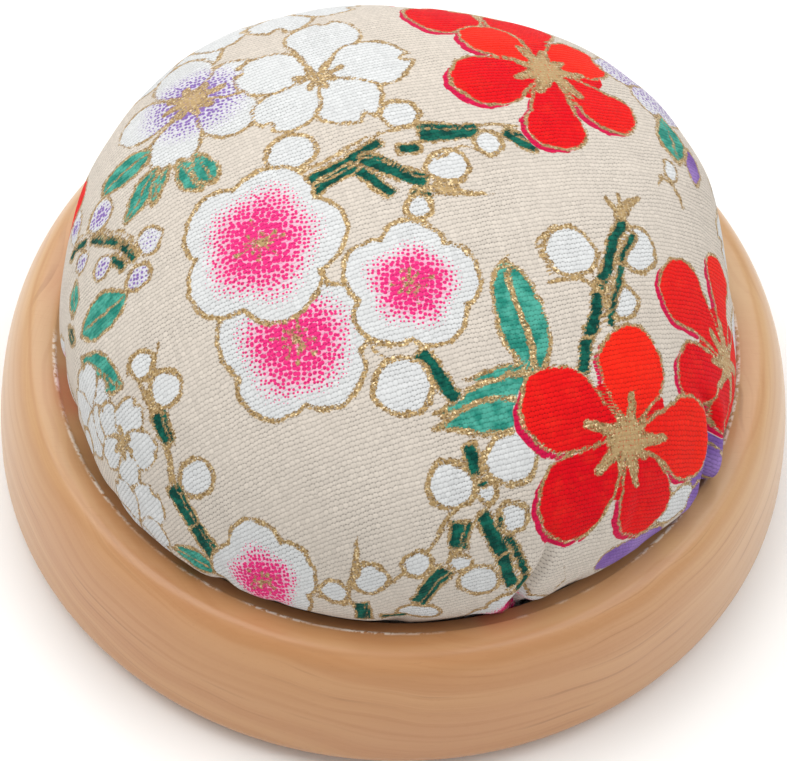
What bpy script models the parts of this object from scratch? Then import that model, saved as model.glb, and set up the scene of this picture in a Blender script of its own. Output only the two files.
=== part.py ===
# Round pin cushion: a stuffed cotton cushion set into a turned wooden dish.
# Units are metres, +Z is up, the dish stands on the plane z = 0 and the
# turning axis of the dish is the Z axis.
import bpy
import bmesh
import math
from mathutils import Vector

# ---------------------------------------------------------------- dimensions
SEGMENTS = 64                 # facets round every turned or domed surface
GAP = 0.0003                  # clearance between touching pieces

# turned wooden dish
BASE_RADIUS = 0.0425          # widest radius of the rim
BASE_HEIGHT = 0.0178          # top of the crowned rim
BASE_WIDEST_Z = 0.0034        # height of the widest line
FOOT_RADIUS = 0.0378          # flat standing face
CROWN_RADIUS = 0.0384         # radius of the highest line of the rim
CROWN_POWER = 2.15            # fullness of the outer shoulder
EDGE_RADIUS = 0.0362          # inner edge of the crowned rim
RECESS_RADIUS = 0.0342        # straight wall of the recess
LIP_DROP = 0.0014             # fall of the slope from the edge to the wall
RECESS_FLOOR_Z = 0.0063       # floor of the recess
RECESS_CORNER = 0.0014        # radius between wall and floor

# cotton cover (one circle of cloth, gathered underneath)
CLOTH = 0.0004                # cloth thickness
DOME_RADIUS = 0.0355          # widest radius of the dome
DOME_WIDEST_Z = 0.0269        # height of the widest line
DOME_HEIGHT = 0.0459          # top of the dome
DOME_POWER = 1.92             # fullness of the dome
OVERHANG_RADIUS = 0.0357      # soft roll of cloth standing over the lip
OVERHANG_Z = 0.0216           # height of that roll
NECK_RADIUS = 0.0338          # where the cloth dips past the lip
NECK_Z = 0.0160
SEAT_RADIUS = 0.0325          # side of the cloth low in the recess
SEAT_Z = 0.0105
UNDER_Z = 0.0079              # flat gathered underside of the cloth
UNDER_RADIUS = 0.0278         # where the underside starts to turn up
MOUTH_RADIUS = 0.0150         # open centre of the gathers

# backing card inside the gathered underside
CARD_RADIUS = 0.0262
CARD_THICK = 0.0012

# glue ring between the gathered cloth and the recess floor
GLUE_INNER = 0.0188
GLUE_OUTER = 0.0262

# drawn gathering thread
THREAD_RADIUS = 0.00032
THREAD_RING = 0.0163
THREAD_SEGMENTS = 64
THREAD_SIDES = 6
THREAD_TAIL = 0.0075


# ---------------------------------------------------------------- helpers
def clear_scene():
    for ob in list(bpy.data.objects):
        bpy.data.objects.remove(ob, do_unlink=True)
    for me in list(bpy.data.meshes):
        bpy.data.meshes.remove(me)
    for mat in list(bpy.data.materials):
        bpy.data.materials.remove(mat)


def material(name, colour, roughness):
    mat = bpy.data.materials.new(name)
    mat.use_nodes = True
    bsdf = mat.node_tree.nodes.get("Principled BSDF")
    bsdf.inputs["Base Color"].default_value = (colour[0], colour[1], colour[2], 1.0)
    bsdf.inputs["Roughness"].default_value = roughness
    bsdf.inputs["Metallic"].default_value = 0.0
    mat.diffuse_color = (colour[0], colour[1], colour[2], 1.0)
    return mat


def finish(name, bm, mat, smooth=True):
    bmesh.ops.recalc_face_normals(bm, faces=bm.faces[:])
    me = bpy.data.meshes.new(name)
    bm.to_mesh(me)
    bm.free()
    me.materials.append(mat)
    for poly in me.polygons:
        poly.use_smooth = smooth
    ob = bpy.data.objects.new(name, me)
    bpy.context.scene.collection.objects.link(ob)
    return ob


def revolve(profile, segments=SEGMENTS):
    """Closed body from an outline of (radius, z) points.

    Points with zero radius become single vertices on the axis.  The outline
    is closed from its last point back to its first one, unless both of
    these lie on the axis.
    """
    bm = bmesh.new()
    rings = []
    for r, z in profile:
        if r < 1e-9:
            rings.append([bm.verts.new((0.0, 0.0, z))])
        else:
            ring = []
            for i in range(segments):
                a = 2.0 * math.pi * i / segments
                ring.append(bm.verts.new((r * math.cos(a), r * math.sin(a), z)))
            rings.append(ring)
    count = len(rings)
    closed = not (len(rings[0]) == 1 and len(rings[-1]) == 1)
    for k in range(count if closed else count - 1):
        a = rings[k]
        b = rings[(k + 1) % count]
        for i in range(segments):
            j = (i + 1) % segments
            if len(a) == 1:
                bm.faces.new((a[0], b[i], b[j]))
            elif len(b) == 1:
                bm.faces.new((a[i], b[0], a[j]))
            else:
                bm.faces.new((a[i], b[i], b[j], a[j]))
    return bm


def arc(cx, cz, rx, rz, a0, a1, steps, power=2.0):
    """Points of an elliptic or fuller arc; angles in degrees."""
    out = []
    for i in range(steps + 1):
        t = math.radians(a0 + (a1 - a0) * i / steps)
        c = math.cos(t)
        s = math.sin(t)
        ex = 2.0 / power
        x = math.copysign(abs(c) ** ex, c) if abs(c) > 1e-9 else 0.0
        y = math.copysign(abs(s) ** ex, s) if abs(s) > 1e-9 else 0.0
        out.append((cx + rx * x, cz + rz * y))
    return out


def bezier(p0, p1, p2, p3, steps):
    """Cubic curve through p0 and p3, without its first point."""
    out = []
    for i in range(1, steps + 1):
        t = i / steps
        u = 1.0 - t
        out.append(tuple(u * u * u * p0[k] + 3 * u * u * t * p1[k]
                         + 3 * u * t * t * p2[k] + t * t * t * p3[k]
                         for k in range(2)))
    return out


def clean(points, tol=1e-6):
    out = []
    for p in points:
        if not out or math.hypot(p[0] - out[-1][0], p[1] - out[-1][1]) > tol:
            out.append(p)
    return out


def offset_inward(points, distance):
    """Shift an open outline towards its inner (axis and centre) side."""
    out = []
    n = len(points)
    for i, (r, z) in enumerate(points):
        a = points[max(i - 1, 0)]
        b = points[min(i + 1, n - 1)]
        tr, tz = b[0] - a[0], b[1] - a[1]
        length = math.hypot(tr, tz)
        nr, nz = tz / length, -tr / length
        if i == 0:
            nr, nz = 0.0, -1.0
        out.append((max(r + nr * distance, 0.0) if i else 0.0, z + nz * distance))
    return out


# ---------------------------------------------------------------- outlines
def dome_outline():
    """Outer face of the cloth, from the top on the axis to the mouth."""
    pts = arc(0.0, DOME_WIDEST_Z, DOME_RADIUS, DOME_HEIGHT - DOME_WIDEST_Z,
              90.0, 6.0, 11, DOME_POWER)
    last = pts[-1]
    pts += bezier(last, (last[0] + 0.00035, last[1] - 0.0024),
                  (OVERHANG_RADIUS, OVERHANG_Z + 0.0022),
                  (OVERHANG_RADIUS, OVERHANG_Z), 3)
    pts += bezier((OVERHANG_RADIUS, OVERHANG_Z),
                  (OVERHANG_RADIUS, OVERHANG_Z - 0.0020),
                  (NECK_RADIUS + 0.0006, NECK_Z + 0.0018),
                  (NECK_RADIUS, NECK_Z), 3)
    pts += bezier((NECK_RADIUS, NECK_Z), (NECK_RADIUS - 0.0005, NECK_Z - 0.0018),
                  (SEAT_RADIUS + 0.0006, SEAT_Z + 0.0014),
                  (SEAT_RADIUS, SEAT_Z), 3)
    pts += bezier((SEAT_RADIUS, SEAT_Z), (SEAT_RADIUS - 0.0014, SEAT_Z - 0.0016),
                  (UNDER_RADIUS + 0.0016, UNDER_Z),
                  (UNDER_RADIUS, UNDER_Z), 3)
    pts.append((0.5 * (UNDER_RADIUS + MOUTH_RADIUS), UNDER_Z))
    pts.append((MOUTH_RADIUS, UNDER_Z))
    return clean(pts)


# ---------------------------------------------------------------- pieces
def build_base():
    pts = [(0.0, 0.0), (FOOT_RADIUS, 0.0)]
    pts += arc(FOOT_RADIUS, BASE_WIDEST_Z, BASE_RADIUS - FOOT_RADIUS,
               BASE_WIDEST_Z, -90.0, 0.0, 5, 2.1)[1:]
    pts += arc(CROWN_RADIUS, BASE_WIDEST_Z, BASE_RADIUS - CROWN_RADIUS,
               BASE_HEIGHT - BASE_WIDEST_Z, 0.0, 90.0, 9, CROWN_POWER)[1:]
    edge = (EDGE_RADIUS, BASE_HEIGHT - 0.0003)
    pts.append((EDGE_RADIUS + 0.0007, BASE_HEIGHT - 0.00012))
    pts.append(edge)
    wall = (RECESS_RADIUS, BASE_HEIGHT - LIP_DROP - 0.0002)
    pts += bezier(edge, (edge[0] - 0.0010, edge[1] - 0.00046),
                  (wall[0] + 0.0002, wall[1] + 0.0005), wall, 3)
    pts += arc(RECESS_RADIUS - RECESS_CORNER, RECESS_FLOOR_Z + RECESS_CORNER,
               RECESS_CORNER, RECESS_CORNER, 0.0, -90.0, 3)
    pts.append((0.0, RECESS_FLOOR_Z))
    bm = revolve(clean(pts))
    return finish("wooden_base", bm, material("pale_turned_wood", (0.60, 0.38, 0.21), 0.38))


def build_cover():
    outer = dome_outline()
    inner = offset_inward(outer, CLOTH)
    inner[-1] = (MOUTH_RADIUS, UNDER_Z + CLOTH)
    inner[-2] = (0.5 * (UNDER_RADIUS + MOUTH_RADIUS), UNDER_Z + CLOTH)
    # outer face from the top pole to the mouth, then back up the inner face
    bm = revolve(outer + list(reversed(inner)))
    return finish("cushion_cover", bm, material("printed_cotton", (0.80, 0.72, 0.62), 0.85))


def build_stuffing():
    outer = dome_outline()
    body = offset_inward(outer, CLOTH + GAP)
    card_top = UNDER_Z + CLOTH + GAP + CARD_THICK
    bottom_z = card_top + GAP
    pts = [p for p in body if p[1] > bottom_z + 0.0006]
    edge = pts[-1]
    pts.append((edge[0] - 0.0020, bottom_z))
    pts.append((0.0, bottom_z))
    bm = revolve(clean(pts))
    return finish("stuffing", bm, material("fibre_filling", (0.86, 0.85, 0.82), 0.95))


def build_card():
    z0 = UNDER_Z + CLOTH + GAP
    pts = [(0.0, z0), (CARD_RADIUS, z0), (CARD_RADIUS, z0 + CARD_THICK),
           (0.0, z0 + CARD_THICK)]
    bm = revolve(pts)
    return finish("backing_card", bm, material("grey_card", (0.55, 0.52, 0.47), 0.9), smooth=False)


def build_glue():
    z0 = RECESS_FLOOR_Z + GAP
    z1 = UNDER_Z - GAP
    mid = 0.5 * (z0 + z1)
    bulge = 0.0004
    pts = [(GLUE_INNER, z0), (GLUE_OUTER, z0), (GLUE_OUTER + bulge, mid),
           (GLUE_OUTER, z1), (GLUE_INNER, z1), (GLUE_INNER - bulge, mid)]
    bm = revolve(pts, 64)
    return finish("glue_ring", bm, material("set_glue", (0.78, 0.74, 0.62), 0.35))


def tube(bm, centres, radius, sides, closed):
    """Thread body along a path; ends are capped when it is not closed."""
    n = len(centres)
    rings = []
    for k, c in enumerate(centres):
        a = centres[(k - 1) % n] if closed or k > 0 else centres[k]
        b = centres[(k + 1) % n] if closed or k < n - 1 else centres[k]
        t = (Vector(b) - Vector(a)).normalized()
        side = t.cross(Vector((0.0, 0.0, 1.0)))
        if side.length < 1e-6:
            side = Vector((1.0, 0.0, 0.0))
        side.normalize()
        up = side.cross(t).normalized()
        ring = []
        for i in range(sides):
            w = 2.0 * math.pi * i / sides
            p = Vector(c) + side * (radius * math.cos(w)) + up * (radius * math.sin(w))
            ring.append(bm.verts.new(p))
        rings.append(ring)
    for k in range(n if closed else n - 1):
        a = rings[k]
        b = rings[(k + 1) % n]
        for i in range(sides):
            j = (i + 1) % sides
            bm.faces.new((a[i], b[i], b[j], a[j]))
    if not closed:
        bm.faces.new(list(reversed(rings[0])))
        bm.faces.new(rings[-1])


def build_thread():
    """Drawn gathering thread: nearly a full turn under the mouth of the
    gathers, with both ends brought together and laid inwards as tails."""
    z = UNDER_Z - GAP - THREAD_RADIUS
    path = []
    half_open = math.radians(5.0)
    start = Vector((THREAD_RING * math.cos(half_open) - THREAD_TAIL,
                    0.00052, z))
    tail = 5
    for k in range(tail):
        f = k / tail
        path.append((start.x + f * (THREAD_TAIL - 0.0009), 0.00052 - 0.00004 * math.sin(f * 6.0), z))
    steps = THREAD_SEGMENTS
    for k in range(steps + 1):
        a = half_open + (2.0 * math.pi - 2.0 * half_open) * k / steps
        wave = 0.00016 * math.sin(a * 30.0)
        r = THREAD_RING + wave
        path.append((r * math.cos(a), r * math.sin(a), z))
    for k in range(tail):
        f = 1.0 - (k + 1) / tail
        path.append((start.x + f * (THREAD_TAIL - 0.0009), -0.00052 + 0.00004 * math.sin(f * 6.0), z))
    bm = bmesh.new()
    tube(bm, path, THREAD_RADIUS, THREAD_SIDES, False)
    return finish("gathering_thread", bm, material("cotton_thread", (0.82, 0.80, 0.74), 0.8))


clear_scene()
build_base()
build_cover()
build_stuffing()
build_card()
build_glue()
build_thread()
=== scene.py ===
# Looks for the round pin cushion: turned wooden dish, printed cotton dome.
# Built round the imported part; every length here is in metres unless a name
# ends in _MM or a comment says millimetres.
import bpy
import bmesh
import math
import numpy as np
from mathutils import Vector, Matrix


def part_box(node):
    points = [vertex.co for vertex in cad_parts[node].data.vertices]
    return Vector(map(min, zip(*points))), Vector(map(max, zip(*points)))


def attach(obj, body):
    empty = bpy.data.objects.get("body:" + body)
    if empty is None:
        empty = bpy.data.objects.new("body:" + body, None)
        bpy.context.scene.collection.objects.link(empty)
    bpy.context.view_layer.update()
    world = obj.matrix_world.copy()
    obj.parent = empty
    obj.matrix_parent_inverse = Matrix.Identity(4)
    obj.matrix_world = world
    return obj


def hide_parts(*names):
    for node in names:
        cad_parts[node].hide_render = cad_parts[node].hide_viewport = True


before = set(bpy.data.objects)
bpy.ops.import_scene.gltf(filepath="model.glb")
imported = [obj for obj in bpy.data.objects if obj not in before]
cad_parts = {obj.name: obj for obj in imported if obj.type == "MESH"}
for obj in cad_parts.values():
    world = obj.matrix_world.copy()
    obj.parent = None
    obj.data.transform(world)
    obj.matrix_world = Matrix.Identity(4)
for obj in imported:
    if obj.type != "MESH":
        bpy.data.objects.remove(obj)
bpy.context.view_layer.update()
SCENE = bpy.context.scene

BASE_LO, BASE_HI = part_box("wooden_base")
COVER_LO, COVER_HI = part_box("cushion_cover")
FILL_LO, FILL_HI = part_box("stuffing")
BASE_R = BASE_HI.x                      # widest radius of the dish
BASE_H = BASE_HI.z                      # top of its rim
K = BASE_R / 0.0425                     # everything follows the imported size
MM = 0.001 * K

# ------------------------------------------------------------------ camera
def make_camera():
    elevation, roll = math.radians(55.5), math.radians(3.05)
    distance = 0.4723 * K
    eye = Vector((0.0, -math.cos(elevation) * distance, math.sin(elevation) * distance))
    aim = Vector((0.0, 0.0, 0.0132 * K))
    ahead = (aim - eye).normalized()
    right = Vector((1.0, 0.0, 0.0))
    up = right.cross(ahead)
    r2 = right * math.cos(roll) + up * math.sin(roll)
    u2 = up * math.cos(roll) - right * math.sin(roll)
    data = bpy.data.cameras.new("studio_camera")
    data.sensor_width = 36.0
    data.lens = 4310.0 / 787.0 * 36.0
    data.shift_x = -(395.7 - 393.5) / 787.0
    data.shift_y = (366.5 - 380.5) / 787.0
    data.clip_start, data.clip_end = 0.01, 20.0
    cam = bpy.data.objects.new("studio_camera", data)
    SCENE.collection.objects.link(cam)
    m = Matrix((r2, u2, -ahead)).transposed().to_4x4()
    m.translation = eye
    cam.matrix_world = m
    SCENE.camera = cam
    return cam

make_camera()
SCENE.view_settings.view_transform = "Standard"
SCENE.view_settings.look = "None"
SCENE.view_settings.exposure = 0.0
SCENE.view_settings.gamma = 1.0


# ---------------------------------------------------------------- node kit
class Mat:
    """Small helper for building one Principled material from nodes."""
    def __init__(self, name):
        self.m = bpy.data.materials.new(name)
        self.m.use_nodes = True
        self.t = self.m.node_tree
        self.t.nodes.clear()
        self.out = self.t.nodes.new("ShaderNodeOutputMaterial")
        self.b = self.t.nodes.new("ShaderNodeBsdfPrincipled")
        self.t.links.new(self.b.outputs[0], self.out.inputs[0])
    def link(self, a, b):
        self.t.links.new(a, b)
        return b
    def put(self, sock, value):
        if isinstance(value, bpy.types.NodeSocket):
            self.t.links.new(value, sock)
        elif isinstance(value, (tuple, list)) and len(value) == 3 and sock.type == "RGBA":
            sock.default_value = (*value, 1.0)
        else:
            sock.default_value = value
    def set(self, name, value):
        self.put(self.b.inputs[name], value)
    def math(self, op, a, b=0.0, c=None, clamp=False):
        n = self.t.nodes.new("ShaderNodeMath")
        n.operation = op
        n.use_clamp = clamp
        self.put(n.inputs[0], a)
        self.put(n.inputs[1], b)
        if c is not None:
            self.put(n.inputs[2], c)
        return n.outputs[0]
    def vmath(self, op, a, b=None, scale=None):
        n = self.t.nodes.new("ShaderNodeVectorMath")
        n.operation = op
        self.put(n.inputs[0], a)
        if b is not None:
            self.put(n.inputs[1], b)
        if scale is not None:
            self.put(n.inputs["Scale"], scale)
        return n.outputs["Value"] if op in ("DOT_PRODUCT", "LENGTH", "DISTANCE") else n.outputs[0]
    def mix(self, f, a, b, kind="MIX"):
        n = self.t.nodes.new("ShaderNodeMix")
        n.data_type = "RGBA"
        n.blend_type = kind
        self.put(n.inputs[0], f)
        self.put(n.inputs[6], a)
        self.put(n.inputs[7], b)
        return n.outputs[2]
    def mixf(self, f, a, b):
        n = self.t.nodes.new("ShaderNodeMix")
        n.data_type = "FLOAT"
        self.put(n.inputs[0], f)
        self.put(n.inputs[2], a)
        self.put(n.inputs[3], b)
        return n.outputs[0]
    def ramp(self, v, lo, hi, out_lo=0.0, out_hi=1.0, smooth=True):
        n = self.t.nodes.new("ShaderNodeMapRange")
        n.interpolation_type = "SMOOTHSTEP" if smooth else "LINEAR"
        n.clamp = True
        self.put(n.inputs[0], v)
        self.put(n.inputs[1], lo)
        self.put(n.inputs[2], hi)
        self.put(n.inputs[3], out_lo)
        self.put(n.inputs[4], out_hi)
        return n.outputs[0]
    def noise(self, vec, scale, detail=3.0, rough=0.5, distort=0.0, dims="3D"):
        n = self.t.nodes.new("ShaderNodeTexNoise")
        n.noise_dimensions = dims
        if vec is not None:
            self.put(n.inputs["Vector"], vec)
        n.inputs["Scale"].default_value = scale
        n.inputs["Detail"].default_value = detail
        n.inputs["Roughness"].default_value = rough
        n.inputs["Distortion"].default_value = distort
        return n.outputs["Fac"]
    def white(self, vec, dims="2D", w=None):
        n = self.t.nodes.new("ShaderNodeTexWhiteNoise")
        n.noise_dimensions = dims
        if w is not None:
            self.put(n.inputs["W"], w)
        if vec is not None:
            self.put(n.inputs["Vector"], vec)
        return n.outputs["Value"]
    def attr(self, name, vector=False):
        n = self.t.nodes.new("ShaderNodeAttribute")
        n.attribute_name = name
        return n.outputs["Vector"] if vector else n.outputs["Fac"]
    def obj(self):
        n = self.t.nodes.new("ShaderNodeTexCoord")
        return n.outputs["Object"]
    def xyz(self, v):
        n = self.t.nodes.new("ShaderNodeSeparateXYZ")
        self.put(n.inputs[0], v)
        return n.outputs
    def comb(self, x, y, z=0.0):
        n = self.t.nodes.new("ShaderNodeCombineXYZ")
        self.put(n.inputs[0], x)
        self.put(n.inputs[1], y)
        self.put(n.inputs[2], z)
        return n.outputs[0]
    def scale(self, v, s):
        n = self.t.nodes.new("ShaderNodeVectorMath")
        n.operation = "MULTIPLY"
        self.put(n.inputs[0], v)
        n.inputs[1].default_value = s
        return n.outputs[0]
    def bump(self, height, strength, distance, normal=None):
        n = self.t.nodes.new("ShaderNodeBump")
        n.inputs["Strength"].default_value = strength
        n.inputs["Distance"].default_value = distance
        self.put(n.inputs["Height"], height)
        if normal is not None:
            self.put(n.inputs["Normal"], normal)
        return n.outputs[0]


# ------------------------------------------------------- the printed pattern
BIG = 1e3
# ---- signed distances in the flat plane of the cloth, millimetres ----------
def sd_ellipse(x, y, cx, cy, rx, ry, deg=0.0):
    a = math.radians(deg); c, s = math.cos(a), math.sin(a)
    u = (x - cx) * c + (y - cy) * s; v = -(x - cx) * s + (y - cy) * c
    k = np.sqrt((u / rx) ** 2 + (v / ry) ** 2)
    g = np.sqrt((u / rx ** 2) ** 2 + (v / ry ** 2) ** 2) + 1e-9
    return np.where(k < 1e-4, -min(rx, ry), k * (k - 1) / g)
def sd_taper(x, y, ax, ay, bx, by, r1, r2):
    dx, dy = bx - ax, by - ay
    h = math.hypot(dx, dy) + 1e-9; ux, uy = dx / h, dy / h
    py = (x - ax) * ux + (y - ay) * uy
    px = np.abs(-(x - ax) * uy + (y - ay) * ux)
    b = (r1 - r2) / h; b = max(min(b, 0.999), -0.999); a = math.sqrt(1 - b * b)
    k = -px * b + py * a
    k = px * (-b) + py * a
    d = px * a + py * b - r1
    d = np.where(k < 0, np.sqrt(px * px + py * py) - r1, d)
    d = np.where(k > a * h, np.sqrt(px * px + (py - h) ** 2) - r2, d)
    return d
def sd_leaf(x, y, ax, ay, bx, by, width):
    dx, dy = bx - ax, by - ay
    L = math.hypot(dx, dy); ux, uy = dx / L, dy / L
    t = ((x - ax) * ux + (y - ay) * uy) / L
    w = -(x - ax) * uy + (y - ay) * ux
    # two circular arcs with a blunter base
    h = width / 2.0; c = L / 2.0
    R = (c * c + h * h) / (2 * h)
    px = np.abs(w); py = t * L - c
    d = np.sqrt((px + (R - h)) ** 2 + py ** 2) - R
    return d, w, t
def sd_bar(x, y, ax, ay, bx, by, width):
    dx, dy = bx - ax, by - ay
    L = math.hypot(dx, dy); ux, uy = dx / L, dy / L
    t = (x - ax) * ux + (y - ay) * uy - L / 2
    w = -(x - ax) * uy + (y - ay) * ux
    qx = np.abs(t) - L / 2 + 0.25; qy = np.abs(w) - width / 2 + 0.25
    return np.minimum(np.maximum(qx, qy), 0) + np.sqrt(np.maximum(qx, 0) ** 2 + np.maximum(qy, 0) ** 2) - 0.25

class Print:
    """Layers printed one over the other; every field is a signed distance."""
    FILLS = ("white", "red", "crimson", "green", "teal", "purple")
    def __init__(self, x, y):
        self.x0, self.y0 = x, y
        # hand-drawn waver of every line
        self.x = x + 0.16 * np.sin(0.9 * y + 0.5 * x) + 0.07 * np.sin(2.7 * y - 1.3 * x + 1.0)
        self.y = y + 0.16 * np.sin(0.8 * x - 0.6 * y + 2.0) + 0.07 * np.sin(2.4 * x + 1.7 * y)
        self.f = {k: np.full(x.shape, BIG) for k in self.FILLS}
        self.gold = np.full(x.shape, BIG)
        self.pink = np.zeros(x.shape); self.lilac = np.zeros(x.shape)
        self.warm = np.zeros(x.shape)
    def fill(self, name, sd, line=0.5):
        for k in self.f:
            self.f[k] = np.maximum(self.f[k], -sd)
        self.gold = np.maximum(self.gold, -sd)
        inside = sd < 0
        self.pink[inside] = 0; self.lilac[inside] = 0
        self.f[name] = np.minimum(self.f[name], sd)
        if line:
            self.gold = np.minimum(self.gold, np.abs(sd) - line / 2)
    def ink(self, sd):
        self.gold = np.minimum(self.gold, sd)
    def line(self, pts, w):
        for (ax, ay), (bx, by) in zip(pts[:-1], pts[1:]):
            self.ink(sd_taper(self.x, self.y, ax, ay, bx, by, w / 2, w / 2))
    # -- motifs ---------------------------------------------------------
    def bud(self, cx, cy, rx, ry=None, deg=0, line=0.62, lilac=0.0):
        sd = sd_ellipse(self.x, self.y, cx, cy, rx, ry or rx, deg)
        self.fill("white", sd, 0)
        if lilac:
            r = np.hypot(self.x - cx, self.y - cy) / rx
            self.lilac = np.where(sd < 0, np.clip(lilac * (1.25 - r), 0, 1), self.lilac)
        self.ink(np.abs(sd) - line / 2)
    def wavy(self, cx, cy, R, rot, kind="pink", core=0.70, line=0.55, squash=(1, 1)):
        """blossom drawn as one scalloped outline"""
        x, y = self.x, self.y
        sd = sd_ellipse(x, y, cx, cy, R * 0.55, R * 0.55)
        lobe = R * 0.455
        for i in range(5):
            a = math.radians(rot + 72 * i)
            sd = np.minimum(sd, sd_ellipse(x, y, cx + (R - lobe) * math.cos(a) * squash[0], cy + (R - lobe) * math.sin(a) * squash[1], lobe * 1.06, lobe * 1.0, rot + 72 * i + 90))
        self.fill("white", sd, line)
        r = np.hypot((x - cx) / squash[0], (y - cy) / squash[1]) / R
        th = np.arctan2(y - cy, x - cx)
        v = np.clip(1.0 - (r - 0.20) / (core - 0.12 + 0.05 * np.cos(5 * (th - math.radians(rot)))), 0, 1)
        f = self.pink if kind == "pink" else self.lilac
        f[sd < 0] = v[sd < 0]
        self.stamens(cx, cy, R * 0.30, rot)
    def stamens(self, cx, cy, r, rot, n=11, w=0.2):
        x, y = self.x, self.y
        self.ink(sd_ellipse(x, y, cx, cy, r * 0.16, r * 0.16))
        for i in range(n):
            a = math.radians(rot + 360.0 / n * i + 9 * math.sin(5.1 * i + cx))
            L = r * (0.72 + 0.28 * math.sin(2.3 * i + cy))
            self.ink(sd_taper(x, y, cx + 0.25 * r * math.cos(a), cy + 0.25 * r * math.sin(a), cx + L * math.cos(a), cy + L * math.sin(a), w / 2, w / 2))
            self.ink(sd_ellipse(x, y, cx + L * math.cos(a), cy + L * math.sin(a), w * 1.25, w * 1.25))
    def star(self, cx, cy, arms, r0):
        x, y = self.x, self.y
        self.ink(sd_ellipse(x, y, cx, cy, r0, r0))
        for deg, L in arms:
            a = math.radians(deg)
            self.ink(sd_taper(x, y, cx, cy, cx + L * math.cos(a), cy + L * math.sin(a), r0 * 0.55, 0.46))
    def petals(self, cx, cy, spec, kind="red", line=0.42, shadow=True, notch=0.0, hub=0.5, warm=None):
        """spec: (angle, reach, half width) of each petal"""
        x, y = self.x, self.y
        def body(ox, oy, grow):
            out = []
            for deg, L, w in spec:
                a = math.radians(deg)
                bx, by = cx + ox + (L - w) * math.cos(a), cy + oy + (L - w) * math.sin(a)
                sd = sd_taper(x, y, cx + ox + hub * math.cos(a), cy + oy + hub * math.sin(a), bx, by, 0.35, w + grow)
                if notch:
                    nx, ny = cx + ox + (L + notch * 0.25) * math.cos(a), cy + oy + (L + notch * 0.25) * math.sin(a)
                    sd = np.maximum(sd, -sd_ellipse(x, y, nx, ny, notch, notch * 0.62, deg))
                out.append(sd)
            return out
        if kind == "red" and shadow:
            for sd in body(-0.55, -0.75, 0.05):
                self.fill("crimson", sd, 0)
        fill = {"red": "red", "white": "white", "purple": "purple"}[kind]
        if kind == "red":
            self.fill("red", sd_ellipse(x, y, cx, cy, 0.55 * spec[0][1], 0.55 * spec[0][1]), 0)
        sds = body(0, 0, 0)
        for (deg, L, w), sd in zip(spec, sds):
            self.fill(fill, sd, line)
            if kind == "red":
                inside = sd < 0.2
                a = math.radians(deg)
                along = ((x - cx) * math.cos(a) + (y - cy) * math.sin(a)) / L
                tone = (warm or {}).get(deg, 0.35 + 0.35 * math.sin(a + 0.4))
                self.warm[inside] = np.clip(tone + 0.5 * (along[inside] - 0.6), 0, 1)
    def leaf(self, ax, ay, bx, by, w, kind="teal", line=0.5, rib=True, vein=0.17):
        sd, ww, t = sd_leaf(self.x, self.y, ax, ay, bx, by, w)
        self.fill(kind, sd, line)
        if rib:
            self.ink(np.maximum(np.abs(ww) - vein, np.maximum(-t + 0.10, t - 0.95) * 6))
    def branch(self, pts, w, split=True, line=0.42):
        sd = np.full(self.x.shape, BIG); mid = np.full(self.x.shape, BIG)
        for (ax, ay), (bx, by) in zip(pts[:-1], pts[1:]):
            sd = np.minimum(sd, sd_bar(self.x, self.y, ax, ay, bx, by, w))
            if split:
                dx, dy = bx - ax, by - ay; L = math.hypot(dx, dy)
                ox, oy = -dy / L * w * 0.16, dx / L * w * 0.16
                mid = np.minimum(mid, sd_taper(self.x, self.y, ax + ox, ay + oy, bx + ox, by + oy, 0.13, 0.13))
        self.fill("green", sd, line)
        if split:
            self.ink(mid)

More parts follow.
